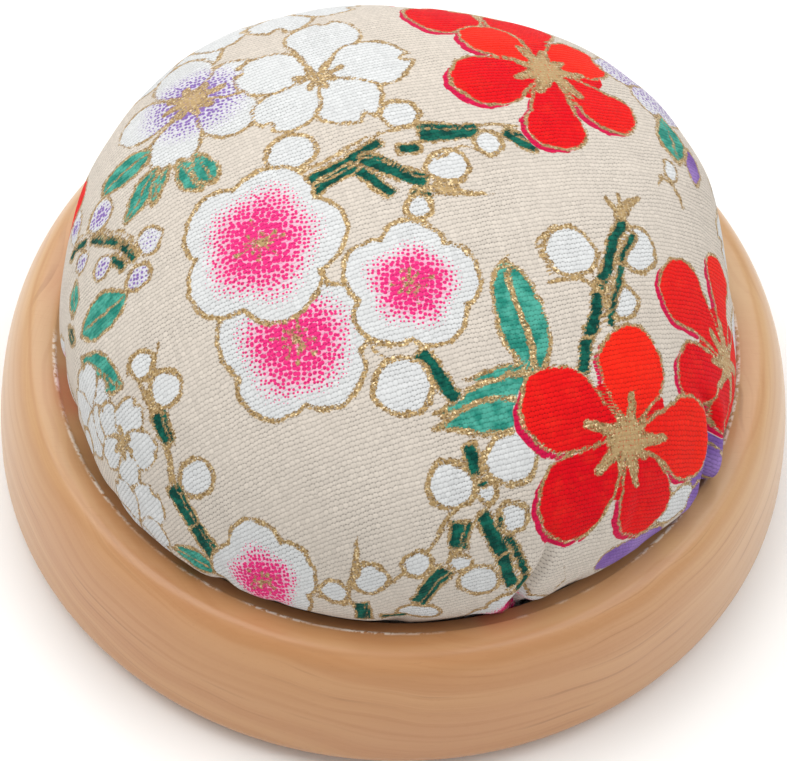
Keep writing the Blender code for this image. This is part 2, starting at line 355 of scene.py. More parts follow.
def draw(P):
    b = P.bud
    # ---- blossoms lying under the others, at the back and left ----
    P.petals(-15.2, 35.0, [(-88, 9.6, 3.9), (-18, 9.2, 3.9), (54, 9.0, 3.9), (126, 9.0, 3.9), (198, 9.2, 3.9)], "white", 0.5, notch=1.5)
    P.star(-15.2, 35.0, [(20 + 45 * i, 2.0) for i in range(8)], 0.6)
    P.petals(-26.6, 27.2, [(-64, 8.6, 3.6), (8, 8.4, 3.6), (80, 8.6, 3.6), (152, 8.6, 3.6), (224, 8.4, 3.6)], "white", 0.5, notch=1.2)
    P.star(-26.6, 27.2, [(10 + 45 * i, 2.0) for i in range(8)], 0.6)
    # violet-centred blossom
    P.petals(-23.3, 14.6, [(-104, 10.4, 3.2), (-42, 9.0, 3.4), (30, 8.4, 3.3), (108, 9.2, 3.6), (188, 9.4, 3.4)], "white", 0.45, notch=0.0)
    r = np.hypot((P.x + 23.3) * 0.92, P.y - 14.4)
    m = (r < 9.8) & (P.f["white"] < 0)
    P.lilac[m] = np.clip(1.05 - (r[m] - 1.8) / 4.6, 0, 1)
    P.star(-23.3, 14.6, [(25, 3.4), (68, 2.8), (112, 2.6), (160, 2.8), (196, 3.5), (238, 2.9), (285, 2.5), (330, 2.7)], 1.5)
    # large white blossom
    P.petals(-9.6, 15.0, [(91, 12.0, 4.0), (22, 10.0, 4.3), (-53, 9.0, 3.7), (-124, 9.2, 3.5), (163, 9.6, 3.7)], "white", 0.5, notch=1.3)
    P.star(-9.6, 15.0, [(80, 2.6), (128, 2.2), (35, 2.4), (175, 2.3), (-20, 1.7), (-62, 2.0), (-112, 2.2)], 0.55)
    # leaves under the violet blossom
    P.leaf(-27.8, 8.4, -35.0, 5.2, 3.9); P.leaf(-27.0, 5.6, -30.6, -1.4, 3.0)
    P.leaf(-24.6, 5.4, -21.0, -0.1, 2.6); P.leaf(-22.4, 5.9, -19.9, 0.6, 2.7); P.leaf(-25.7, 5.1, -27.3, -0.4, 1.8)
    # ---- branch across the top ----
    P.line([(-10.4, 1.0), (-3.4, 5.8), (7.2, 8.6), (12.4, 9.0)], 0.45)
    P.branch([(-10.6, -0.9), (-2.6, 4.6)], 1.5, False); P.branch([(-1.0, 3.6), (1.2, 4.3)], 1.3, False); P.branch([(0.9, 6.2), (7.2, 7.5)], 2.4)
    P.branch([(9.6, 7.9), (13.6, 6.6)], 1.8)
    P.branch([(-10.2, -2.2), (-5.2, 1.6)], 1.6); P.branch([(-4.8, 2.5), (2.4, -0.4)], 2.0)
    P.branch([(-5.2, 0.9), (-1.2, -2.0)], 1.3, False); P.branch([(0.4, -2.0), (2.7, -2.1)], 1.3, False)
    b(-11.9, 3.8, 2.5, 2.6); b(-0.9, 8.8, 2.0); b(8.2, 5.9, 1.3, 1.7, 20); b(4.1, 2.1, 2.1); b(1.4, -3.4, 1.3)
    P.ink(sd_taper(P.x, P.y, 3.4, -1.0, 9.0, -0.7, 0.75, 0.12)); P.ink(sd_taper(P.x, P.y, 4.6, -0.8, 6.2, 0.9, 0.4, 0.12))
    P.line([(2.8, 2.8), (5.5, 4.9), (8.6, 4.3)], 0.4)
    # ---- right stem ----
    b(17.4, -6.0, 2.8); b(25.0, -3.3, 2.5, 2.9); b(23.6, -10.2, 2.0)
    P.branch([(23.1, 0.1), (20.9, -9.0), (19.9, -15.0), (19.5, -19.4)], 1.45, False); P.branch([(24.6, -1.4), (23.1, -6.0), (22.2, -13.4)], 0.95, False)
    P.ink(sd_taper(P.x, P.y, 22.6, 0.4, 24.9, 3.6, 0.8, 0.42)); P.ink(sd_taper(P.x, P.y, 22.6, 0.6, 20.9, 1.8, 0.5, 0.3))
    P.ink(sd_taper(P.x, P.y, 23.2, 0.9, 22.6, 3.0, 0.42, 0.2)); P.ink(sd_taper(P.x, P.y, 14.9, -9.8, 18.6, -8.9, 0.25, 0.25))
    P.ink(sd_taper(P.x, P.y, 18.6, -8.9, 20.6, -9.8, 0.25, 0.45)); P.line([(15.4, -3.2), (13.7, -6.0), (15.2, -9.0)], 0.4)
    # two-lobed leaf
    P.leaf(10.2, -8.3, 14.8, -20.4, 5.4, vein=0.38); P.line([(10.4, -7.4), (10.9, -10.0)], 0.5)
    # ---- middle branch and leaves ----
    P.leaf(7.4, -21.6, 15.6, -19.5, 1.5, rib=False); P.leaf(4.4, -25.3, 18.0, -19.6, 2.7, rib=False, line=0.6); P.leaf(4.2, -26.9, 18.4, -22.6, 3.2, rib=False, line=0.6)
    P.branch([(2.3, -19.4), (6.6, -23.9)], 1.7, False)
    b(0.8, -22.9, 3.0); P.line([(-3.2, -17.3), (-2.2, -19.6), (-0.6, -20.4)], 0.45)
    b(12.6, -28.9, 3.0, 2.6, 25); b(6.5, -32.3, 2.6, 2.3); b(10.5, -32.7, 1.1); b(13.8, -34.8, 1.9, 1.7)
    P.branch([(7.9, -28.0), (9.2, -31.0)], 1.4, False); P.branch([(9.3, -31.9), (10.6, -31.8)], 0.8, False)
    P.branch([(10.0, -34.7), (13.6, -39.2), (16.2, -42.8)], 1.7, False); P.branch([(13.2, -36.7), (17.3, -40.8), (17.0, -43.6)], 1.0, False); P.branch([(12.1, -34.4), (12.6, -36.0)], 0.9, False)
    P.branch([(8.1, -35.9), (8.2, -38.8)], 2.3); P.branch([(7.2, -39.8), (8.9, -39.5)], 0.8, False); P.branch([(7.2, -41.3), (4.2, -46.8)], 2.4)
    b(3.7, -41.1, 1.6); b(8.6, -40.3, 1.5, 1.0); b(11.5, -42.7, 2.7, 2.0, 0); b(4.9, -48.7, 2.9, 1.4)
    P.line([(7.0, -34.8), (5.6, -38.0), (4.6, -39.5)], 0.55); P.line([(2.2, -42.2), (0.9, -43.6)], 0.6)
    b(-1.7, -43.1, 2.1, 2.0); b(-6.2, -45.4, 1.9, 1.6)
    P.branch([(-2.8, -46.8), (-2.6, -50.5)], 2.2); P.branch([(-0.4, -49.6), (3.6, -49.9)], 1.0, False)
    P.ink(sd_taper(P.x, P.y, -3.6, -42.6, -3.1, -38.4, 0.62, 0.1)); P.line([(-3.8, -42.4), (-4.4, -46.6)], 0.62)
    P.line([(-8.4, -42.6), (-8.9, -46.0), (-6.4, -47.4), (-3.8, -47.0)], 0.42)
    # ---- left side ----
    P.leaf(-39.3, -4.4, -39.2, -9.2, 2.4); P.leaf(-36.9, -12.6, -29.6, -10.3, 5.0); P.leaf(-37.2, -15.2, -30.1, -20.6, 3.7)
    P.leaf(-41.2, -9.4, -38.6, -13.0, 2.0, "green")
    P.branch([(-40.6, -0.6), (-39.2, 0.3), (-37.0, -0.6)], 1.2, False); P.branch([(-36.2, -0.7), (-33.6, -2.0), (-31.2, -3.7), (-28.9, -6.2)], 1.4)
    P.branch([(-32.8, -5.0), (-30.4, -6.9)], 1.0, False); P.line([(-38.6, 1.6), (-34.6, 0.0), (-31.0, -2.0), (-28.6, -4.4)], 0.4)
    b(-34.9, 2.0, 1.8, 2.4, 0, 0.5, 0.95); b(-38.0, -2.8, 1.1, 1.3, 0, 0.45, 0.6); b(-33.8, -5.7, 1.3, 1.5, 0, 0.45, 0.7)
    b(-28.3, -8.7, 1.5, 1.6, 0, 0.55, 0.7); b(-27.0, -4.6, 1.6, 1.8, 0, 0.5, 0.35); b(-39.6, 3.6, 1.2, 2.4, 0, 0.4, 0.9)
    P.petals(-36.6, -21.6, [(20, 4.6, 2.3), (92, 5.6, 2.6), (164, 6, 2.6), (236, 6, 2.6), (308, 4.8, 2.3)], "white", 0.36, notch=0.6)
    P.petals(-31.5, -26.4, [(118, 5.4, 2.2), (48, 5.2, 2.3), (-22, 5.4, 2.3), (-94, 5.2, 2.1), (-168, 5.0, 2.1)], "white", 0.36, notch=0.6)
    P.star(-31.5, -26.4, [(20 + 60 * i, 1.5) for i in range(6)], 0.7)
    P.petals(-34.0, -36.0, [(30, 6.8, 2.9), (102, 6, 2.4), (-42, 6, 2.7), (-114, 6, 2.6), (174, 6, 2.6)], "white", 0.36, notch=0.8)
    b(-27.2, -18.9, 1.6); b(-24.4, -21.7, 2.0); b(-22.0, -31.7, 2.2, 2.2)
    P.ink(sd_taper(P.x, P.y, -26.0, -20.6, -25.2, -17.0, 0.4, 0.1)); P.line([(-27.6, -21.2), (-25.6, -24.2)], 0.75)
    P.line([(-25.0, -27.8), (-25.2, -31.8)], 0.9); P.line([(-28.6, -17.4), (-29.2, -19.4)], 0.42)
    P.branch([(-25.5, -23.9), (-24.4, -27.8)], 1.8); P.branch([(-25.2, -32.0), (-23.6, -37.0), (-21.3, -41.6)], 2.2)
    P.leaf(-28.8, -39.8, -21.8, -43.4, 3.2); P.leaf(-33.0, -43.0, -27.0, -44.4, 3.0)
    # ---- pink blossoms ----
    P.wavy(-10.3, -18.6, 8.3, -117); P.wavy(-14.4, -7.4, 9.2, 80, squash=(0.92, 1.06)); P.wavy(1.2, -12.2, 7.2, 92, core=0.62)
    P.wavy(-15.6, -44.4, 7.6, 92, core=0.60)
    P.wavy(18.8, -50.2, 6.8, 40, core=0.66)
    # ---- violet blossom lower right, under the red ones ----
    P.petals(48.0, -20.5, [(150, 10.0, 3.6), (206, 10.6, 3.8), (262, 11.0, 4.4), (322, 9.0, 4.0), (18, 9.0, 4.0), (84, 10.0, 4.0)], "purple", 0.42)
    P.fill("white", sd_ellipse(P.x, P.y, 37.4, -28.9, 3.6, 1.9, 50), 0.42)
    P.fill("purple", sd_taper(P.x, P.y, 29.6, -38.9, 37.6, -33.9, 1.5, 2.1), 0.42)
    P.fill("purple", sd_taper(P.x, P.y, 41.2, -26.2, 43.2, -29.6, 1.6, 2.4), 0.42)
    P.line([(22.6, -39.8), (24.4, -41.6), (23.2, -43.4), (25.6, -45.4)], 0.28)
    # ---- red blossoms ----
    P.petals(42.0, -9.3, [(38, 11.0, 4.0), (-30, 9.5, 3.6), (-92, 8.4, 3.2), (106, 13.2, 2.7), (159, 14.2, 4.1), (219, 11.4, 3.4)], "red")
    P.star(42.0, -9.3, [(20, 4.4), (75, 3.2), (118, 4.4), (160, 4.2), (205, 3.6), (250, 4.0), (320, 4.2)], 1.6)
    P.petals(7.4, 35.2, [(-126, 11.6, 4.2), (-54, 11.4, 3.9), (18, 11.0, 4.3), (90, 11.0, 4.3), (162, 11.2, 4.2)], "red")
    P.star(7.4, 35.2, [(10 + 51.4 * i, 4.2 + 0.6 * math.sin(4 * i)) for i in range(7)], 1.7)
    P.petals(14.3, 20.0, [(-149, 11.4, 4.2), (-32, 11.6, 3.3), (-83, 13.0, 3.3), (48, 9.0, 3.6), (143, 11.0, 3.4)], "red", warm={48: 1.0, 143: 1.0})
    P.star(14.3, 20.0, [(92, 3.6), (52, 3.0), (8, 4.2), (-42, 5.0), (-95, 4.2), (-140, 3.8), (178, 3.0), (128, 4.4)], 2.1)
    P.petals(26.3, -24.5, [(94, 12.0, 4.4), (171, 13.5, 4.4), (-126, 13.8, 4.7), (-48, 12.0, 4.4), (18, 14.4, 4.5)], "red", warm={94: 1.0, 18: 0.8})
    P.star(26.3, -24.5, [(94, 4.6), (52, 2.7), (16, 5.7), (-22, 2.8), (-59, 5.0), (-95, 2.9), (-130, 5.4), (-160, 2.7), (174, 5.6), (135, 2.7)], 1.8)
    # ---- upper right ----
    P.petals(28.8, 28.8, [(-154, 9.2, 3.5), (-99, 10.4, 3.4), (-30, 9.6, 3.8), (38, 10, 4), (104, 10, 4)], "white", 0.45, notch=0.6)
    r = np.hypot(P.x - 28.8, P.y - 28.8); m = (P.f["white"] < 0) & (r < 13)
    P.lilac[m] = np.clip(0.62 - np.abs(r[m] - 6.0) / 9.0, 0, 0.5)
    P.leaf(27.9, 19.8, 30.4, 12.0, 3.6); P.leaf(31.6, 16.4, 33.4, 10.6, 2.2, "purple", 0.4, False); b(29.0, 10.2, 0.9, 1.5, 10, 0.40)
    P.line([(27.8, 8.3), (28.9, 8.5), (30.0, 7.8), (31.6, 5.6)], 0.45); P.line([(28.0, 8.8), (27.7, 7.2)], 0.4)
    # ---- far side, carried on in the same hand ----
    P.wavy(-6.0, 48.6, 7.8, 20); P.wavy(-40.6, 33.2, 8.0, 60); P.wavy(-30.0, 41.0, 7.0, 10)
    P.branch([(-21.0, 43.2), (-13.4, 50.6)], 1.7); b(-16.6, 44.6, 2.2); b(-21.4, 49.2, 2.2); b(-24.6, 46.0, 1.6)
    P.leaf(-20.0, 51.6, -25.4, 55.0, 3.6)
    P.petals(-46.0, 12.0, [(40, 8.8, 4.0), (112, 9.2, 4.0), (184, 9.4, 4.0), (256, 9.2, 4.0), (328, 8.8, 4.0)], "red")
    P.star(-46.0, 12.0, [(12 + 51.4 * i, 4.0 + 0.7 * math.sin(3 * i)) for i in range(7)], 1.5)
    P.petals(44.6, 14.4, [(20, 9, 3.9), (92, 9, 3.9), (164, 8.6, 3.7), (236, 8.8, 3.8), (308, 9, 3.9)], "white", 0.5, notch=1.3)
    P.star(44.6, 14.4, [(20 + 45 * i, 2.2) for i in range(8)], 0.6)
    P.branch([(39.0, 24.4), (36.6, 33.2), (37.6, 41.0)], 1.9); b(41.6, 28.4, 2.4); b(34.2, 37.6, 2.2); b(40.6, 36.2, 1.8); b(42.4, 44.2, 2.4)
    P.wavy(24.8, 47.4, 8.4, 30); P.leaf(34.0, 42.0, 29.4, 38.4, 3.6); P.leaf(46.6, 26.0, 51.0, 31.8, 4.2)
    P.wavy(51.0, 1.6, 7.4, 0); P.wavy(-52.0, -12.0, 7.4, 30); P.branch([(-47.0, -20.5), (-44.0, -30.0)], 1.9)
    b(-49.8, -24.4, 2.3); b(-42.0, -24.0, 1.9); b(-46.6, -33.4, 2.3); P.leaf(-44.0, -34.0, -40.0, -40.4, 4.0)
    P.petals(30.6, -52.0, [(20, 8.0, 3.5), (92, 8.0, 3.5), (164, 8.0, 3.5), (236, 8, 3.5), (308, 8, 3.5)], "white", 0.45, notch=1.0)
    P.star(30.6, -52.0, [(20 + 45 * i, 2.0) for i in range(8)], 0.6)


# --------------------------------------------------------------- outlines
def bez(p0, p1, p2, p3, n):
    t = np.linspace(0.0, 1.0, n + 1)[1:, None]
    u = 1.0 - t
    p0, p1, p2, p3 = map(np.array, (p0, p1, p2, p3))
    return u ** 3 * p0 + 3 * u * u * t * p1 + 3 * u * t * t * p2 + t ** 3 * p3

def dome_outline():
    """Outer face of the cloth in millimetres, from the top to the mouth of the gathers."""
    a, zc, c, power = 35.5, 26.9, 19.0, 1.92
    t = np.radians(np.linspace(90.0, 6.0, 300))
    t[0] = math.pi / 2
    pts = np.stack([a * np.abs(np.cos(t)) ** (2 / power), zc + c * np.sin(t) ** (2 / power)], 1)
    pts[0, 0] = 0.0
    l = pts[-1]
    return np.concatenate([
        pts,
        bez(l, (l[0] + 0.35, l[1] - 2.4), (35.7, 23.8), (35.7, 21.6), 60),
        bez((35.7, 21.6), (35.7, 19.6), (34.4, 17.8), (33.8, 16.0), 60),
        bez((33.8, 16.0), (33.3, 14.2), (33.1, 11.9), (32.5, 10.5), 40),
        bez((32.5, 10.5), (31.1, 8.9), (29.4, 7.9), (27.8, 7.9), 40),
        bez((27.8, 7.9), (24.0, 7.9), (19.0, 7.9), (15.0, 7.9), 40)])

OUTLINE = dome_outline()
ARC = np.concatenate([[0.0], np.cumsum(np.hypot(*np.diff(OUTLINE, axis=0).T))])
S_LIP = float(np.interp(-18.6, -OUTLINE[:420, 1], ARC[:420]))
S_END = float(ARC[-1])

# the hand-packed filling leans: radial bulge in millimetres, every twenty degrees
# low down at the rim and every thirty higher up at the shoulder
LEAN_LOW = [-0.2, -1.2, -0.65, -0.35, -0.05, 0.05, 0.0, -0.05, -0.3, -0.35, -0.1, 1.0, 1.5, 1.1, 0.95, 1.15, 1.5, 1.15]
LEAN_HIGH = [-1.7, 0.65, 0.75, 0.65, 0.95, 0.75, -0.8, 0.15, -0.15, -0.1, 0.05, -1.1]

def around(values, ph):
    """Smooth closed curve through evenly spaced values."""
    v = np.asarray(values, float)
    n = len(v)
    c = np.fft.rfft(v) / n
    out = np.full(np.shape(ph), c[0].real)
    for k in range(1, len(c)):
        m = 1.0 if 2 * k == n else 2.0
        out = out + m * (c[k].real * np.cos(k * ph) - c[k].imag * np.sin(k * ph))
    return out

def lean(s, ph, r, z):
    low = 1.0 / (1.0 + np.exp((z - 27.0) / 1.3)) * smooth(S_LIP + 4.5, S_LIP - 1.5, s)
    high = np.exp(-((z - 33.5) / 6.0) ** 2) * np.sqrt(np.clip(r / 30.0, 0, 1))
    return low * around(LEAN_LOW, ph) + high * around(LEAN_HIGH, ph)

def on_dome(X, Y):
    """Chart point in millimetres (straight down the cloth from the top) to place and outward normal."""
    s = np.hypot(X, Y)
    ph = np.arctan2(Y, X)
    r = np.interp(s, ARC, OUTLINE[:, 0])
    z = np.interp(s, ARC, OUTLINE[:, 1])
    e = 0.35
    dr = np.interp(s + e, ARC, OUTLINE[:, 0]) - np.interp(np.maximum(s - e, -e), ARC, OUTLINE[:, 0])
    dz = np.interp(s + e, ARC, OUTLINE[:, 1]) - np.interp(s - e, ARC, OUTLINE[:, 1])
    n = np.stack([-dz * np.cos(ph), -dz * np.sin(ph), dr], -1)
    n[s < 0.4] = (0.0, 0.0, 1.0)
    n /= np.linalg.norm(n, axis=-1, keepdims=True) + 1e-12
    rr = r + lean(s, ph, r, z)
    return np.stack([rr * np.cos(ph), rr * np.sin(ph), z], -1), n, s, ph, r

def chart_grid(n):
    """Square grid of n by n cells wrapped onto the round cloth."""
    g = np.linspace(-1.0, 1.0, n + 1)
    b, a = np.meshgrid(g, g, indexing="ij")
    big = np.abs(a) > np.abs(b)
    sa = np.where(np.abs(a) < 1e-9, 1e-9, a)
    sb = np.where(np.abs(b) < 1e-9, 1e-9, b)
    rho = np.where(big, a, b)
    phi = np.where(big, math.pi / 4 * (b / sa), math.pi / 2 - math.pi / 4 * (a / sb))
    phi = np.where((np.abs(a) < 1e-9) & (np.abs(b) < 1e-9), 0.0, phi)
    x, y = rho * np.cos(phi), rho * np.sin(phi)
    q = np.hypot(x, y)
    # most of the grid goes to the part of the cloth that shows
    k = 0.905
    s = np.where(q < k, q / k * (S_LIP + 1.5), (S_LIP + 1.5) + (q - k) / (1 - k) * (S_END - S_LIP - 1.5))
    f = np.where(q > 1e-9, s / np.maximum(q, 1e-9), 0.0)
    return x * f, y * f

def grid_faces(n):
    i = np.arange(n * (n + 1)).reshape(n, n + 1)[:, :-1].ravel()
    return np.stack([i, i + 1, i + n + 2, i + n + 1], 1)

def smooth(lo, hi, v):
    t = np.clip((v - lo) / (hi - lo), 0.0, 1.0)
    return t * t * (3 - 2 * t)

def mesh_from(name, verts, faces):
    me = bpy.data.meshes.new(name)
    me.vertices.add(len(verts))
    me.vertices.foreach_set("co", np.asarray(verts, np.float32).ravel())
    faces = np.asarray(faces)
    me.loops.add(faces.size)
    me.loops.foreach_set("vertex_index", faces.ravel().astype(np.int32))
    me.polygons.add(len(faces))
    me.polygons.foreach_set("loop_start", np.arange(0, faces.size, faces.shape[1], dtype=np.int32))
    me.update(calc_edges=True)
    me.validate()
    me.polygons.foreach_set("use_smooth", np.ones(len(faces), bool))
    ob = bpy.data.objects.new(name, me)
    SCENE.collection.objects.link(ob)
    return ob


# --------------------------------------------------------- cloth simulation
COARSE, FINE = 78, 312

def simulate(P0, s, faces):
    """Presses the coarse cloth out from inside with the rim as an obstacle, at ten times real size."""
    up = 10.0 * MM
    ob = mesh_from("cloth_trial", P0.reshape(-1, 3) * up, faces)
    pin = ob.vertex_groups.new(name="held")
    loose = ob.vertex_groups.new(name="loose")
    sv = s.ravel()
    for i in range(len(sv)):
        w = float(smooth(S_LIP + 0.6, S_LIP + 3.5, sv[i]))
        if w > 0:
            pin.add([i], w, "REPLACE")
        g = float(smooth(34.0, S_LIP, sv[i]))
        if g > 0:
            loose.add([i], g, "REPLACE")
    rim = revolve_mesh("rim_trial", base_outline(36) * up, 96)
    rim.modifiers.new("Collision", "COLLISION")
    rim.collision.thickness_outer = 0.003
    rim.collision.cloth_friction = 8.0
    mod = ob.modifiers.new("Cloth", "CLOTH")
    st = mod.settings
    st.quality = 7
    st.mass = 0.25
    st.tension_stiffness = 22.0
    st.compression_stiffness = 18.0
    st.shear_stiffness = 6.0
    st.bending_stiffness = 0.25
    st.use_pressure = True
    st.uniform_pressure_force = 4.0
    st.effector_weights.gravity = 0.0
    st.vertex_group_mass = "held"
    st.vertex_group_shrink = "loose"
    st.shrink_min = 0.0
    st.shrink_max = -0.07
    mod.collision_settings.use_collision = True
    mod.collision_settings.distance_min = 0.003
    mod.collision_settings.use_self_collision = False
    for f in range(1, 21):
        SCENE.frame_set(f)
    dg = bpy.context.evaluated_depsgraph_get()
    ev = ob.evaluated_get(dg)
    out = np.zeros(len(ev.data.vertices) * 3, np.float32)
    ev.data.vertices.foreach_get("co", out)
    SCENE.frame_set(1)
    for o in (ob, rim):
        bpy.data.objects.remove(o, do_unlink=True)
    return out.reshape(P0.shape).astype(float) / up

def refine(D, n_from, n_to):
    """Cubic B-spline from the coarse grid of displacements to the fine one."""
    t = np.linspace(0.0, n_from, n_to + 1)
    i = np.minimum(t.astype(int), n_from - 1)
    f = t - i
    w = np.stack([(1 - f) ** 3, 3 * f ** 3 - 6 * f ** 2 + 4, -3 * f ** 3 + 3 * f ** 2 + 3 * f + 1, f ** 3], 1) / 6
    M = np.zeros((n_to + 1, n_from + 1))
    for k in range(4):
        j = np.clip(i + k - 1, 0, n_from)
        np.add.at(M, (np.arange(n_to + 1), j), w[:, k])
    return np.einsum("ai,ijc,bj->abc", M, D, M)

# tucks where the gathered cloth folds over the rim: angle, start, depth, width, lean
TUCKS = [(-119.0, 44.5, 0.75, 1.1, 1), (-65.4, 36.5, 1.5, 0.85, 1), (-25.8, 37.0, 2.35, 0.95, -1),
         (-92.0, 47.0, 0.35, 1.6, -1), (-143.0, 45.0, 0.5, 1.4, -1), (-171.0, 44.0, 0.7, 1.3, 1),
         (159.0, 41.0, 1.1, 1.3, -1), (131.0, 44.5, 0.7, 1.5, 1), (107.0, 39.5, 1.2, 1.2, 1),
         (79.0, 45.0, 0.6, 1.4, -1), (52.0, 41.5, 1.15, 1.25, 1), (27.0, 44.0, 0.8, 1.4, -1),
         (4.0, 43.0, 0.6, 1.3, 1), (-45.0, 46.0, 0.4, 1.5, 1)]

def tucks(s, ph, r):
    out = np.zeros(s.shape)
    for deg, s0, depth, width, lean in TUCKS:
        bend = 0.05 * np.sin((s - s0) * 0.35)
        d = np.angle(np.exp(1j * (ph - math.radians(deg) - bend))) * r
        t = smooth(s0, s0 + 13.0, s) * (1 - 0.6 * smooth(S_LIP + 2.0, S_LIP + 9.0, s))
        w = width * (0.75 + 0.5 * smooth(s0, S_LIP + 4, s))
        side = d * lean
        out -= depth * t * np.exp(-(side / w) ** 2) * np.where(side > 0, 1.0, np.exp(-(side / w) ** 2 * 0.8))
        out += 0.38 * depth * t * np.exp(-((side + 2.1 * w) / (1.5 * w)) ** 2)
        out += 0.20 * depth * t * np.exp(-((side - 2.6 * w) / (1.9 * w)) ** 2)
    return out

def gathers(s, ph):
    """Close pleats of the drawn-up cloth, out of sight below the rim, deepest at the thread."""
    deep = 0.50 * smooth(S_LIP + 2.0, S_LIP + 8.0, s) + 0.50 * smooth(S_END - 16.0, S_END - 3.0, s)
    return deep * np.sin(ph * 41 + 0.7 * np.sin(ph * 5) + 0.5 * np.sin(ph * 3 + 1.0)) * (0.95 + 0.05 * np.sin(ph * 7))

def shown_low(s):
    return 1 - 0.8 * smooth(S_LIP + 3.0, S_LIP + 9.0, s)

def lumps(P):
    """Slight unevenness of the packed fibre under the cloth."""
    x, y, z = P[..., 0], P[..., 1], P[..., 2]
    return (0.20 * np.sin(0.16 * x + 1.3 + 0.9 * np.sin(0.11 * y)) * np.sin(0.15 * y + 0.4 + 0.7 * np.sin(0.13 * z))
            + 0.10 * np.sin(0.33 * x - 0.21 * y + 2.1) * np.sin(0.29 * y + 0.18 * z)
            + 0.05 * np.sin(0.61 * x + 0.3 * z) * np.sin(0.57 * y - 0.4 * z + 1.0))


# -------------------------------------------------------------- base outline
def base_outline(n=90):
    """Closed section of the dish in millimetres, underside first."""
    def arc(cx, cz, rx, rz, a0, a1, k, power=2.0):
        t = np.radians(np.linspace(a0, a1, k + 1))
        c, s = np.cos(t), np.sin(t)
        ex = 2.0 / power
        return np.stack([cx + rx * np.sign(c) * np.abs(c) ** ex, cz + rz * np.sign(s) * np.abs(s) ** ex], 1)
    H = BASE_H / MM
    pts = [np.array([[0.0, 0.0], [20.0, 0.0], [38.0, 0.0]])]
    pts.append(arc(37.8, 3.4, 4.7, 3.4, -90, 0, max(4, n // 6), 2.1))
    pts.append(arc(38.4, 3.4, 4.1, H - 3.4, 0, 90, max(8, n // 3), 2.15)[1:])
    pts.append(np.array([[37.9, H - 0.015], [37.4, H - 0.045], [36.9, H - 0.105], [36.5, H - 0.175]]))
    pts.append(bez((36.5, H - 0.175), (36.36, H - 0.21), (36.26, H - 0.25), (36.18, H - 0.34), 7))
    pts.append(bez((36.18, H - 0.34), (35.9, H - 0.66), (35.1, H - 1.05), (34.5, H - 1.34), 9))
    pts.append(bez((34.5, H - 1.34), (34.3, H - 1.43), (34.2, H - 1.5), (34.2, H - 1.8), 5))
    pts.append(arc(32.8, 7.7, 1.4, 1.4, 0, -90, 4))
    pts.append(np.array([[20.0, 6.3], [0.0, 6.3]]))
    return np.concatenate(pts)

def revolve_mesh(name, outline, seg):
    """Closed turned body; the first and last points lie on the axis. outline in millimetres times MM already when wanted."""
    n = len(outline)
    a = np.linspace(0, 2 * math.pi, seg, endpoint=False)
    inner = outline[1:-1]
    V = np.stack([np.outer(inner[:, 0], np.cos(a)), np.outer(inner[:, 0], np.sin(a)), np.repeat(inner[:, 1:2], seg, 1)], -1).reshape(-1, 3)
    V = np.concatenate([V, [[0, 0, outline[0, 1]], [0, 0, outline[-1, 1]]]])
    bm = bmesh.new()
    vs = [bm.verts.new(v) for v in V]
    m = n - 2
    for k in range(m - 1):
        for i in range(seg):
            j = (i + 1) % seg
            bm.faces.new((vs[k * seg + i], vs[k * seg + j], vs[(k + 1) * seg + j], vs[(k + 1) * seg + i]))
    lo, hi = vs[-2], vs[-1]
    for i in range(seg):
        j = (i + 1) % seg
        bm.faces.new((vs[j], vs[i], lo))
        bm.faces.new((vs[(m - 1) * seg + i], vs[(m - 1) * seg + j], hi))
    bmesh.ops.recalc_face_normals(bm, faces=bm.faces[:])
    me = bpy.data.meshes.new(name)
    bm.to_mesh(me)
    bm.free()
    for p in me.polygons:
        p.use_smooth = True
    ob = bpy.data.objects.new(name, me)
    SCENE.collection.objects.link(ob)
    return ob


# ------------------------------------------------------------ cotton material
WEAVE_A, PITCH_A = math.radians(-69.0), 0.50     # thread spacing in millimetres
WEAVE_B, PITCH_B = math.radians(-160.0), 0.575
CREAM_1, CREAM_2 = (0.566, 0.506, 0.442), (0.600, 0.544, 0.480)
WHITE_1, WHITE_2 = (0.590, 0.602, 0.606), (0.630, 0.640, 0.645)
GOLD_DARK, GOLD_MID, GOLD_LIGHT = (0.200, 0.122, 0.048), (0.380, 0.258, 0.118), (0.700, 0.550, 0.320)
GOLD_BODY = (0.455, 0.315, 0.150)

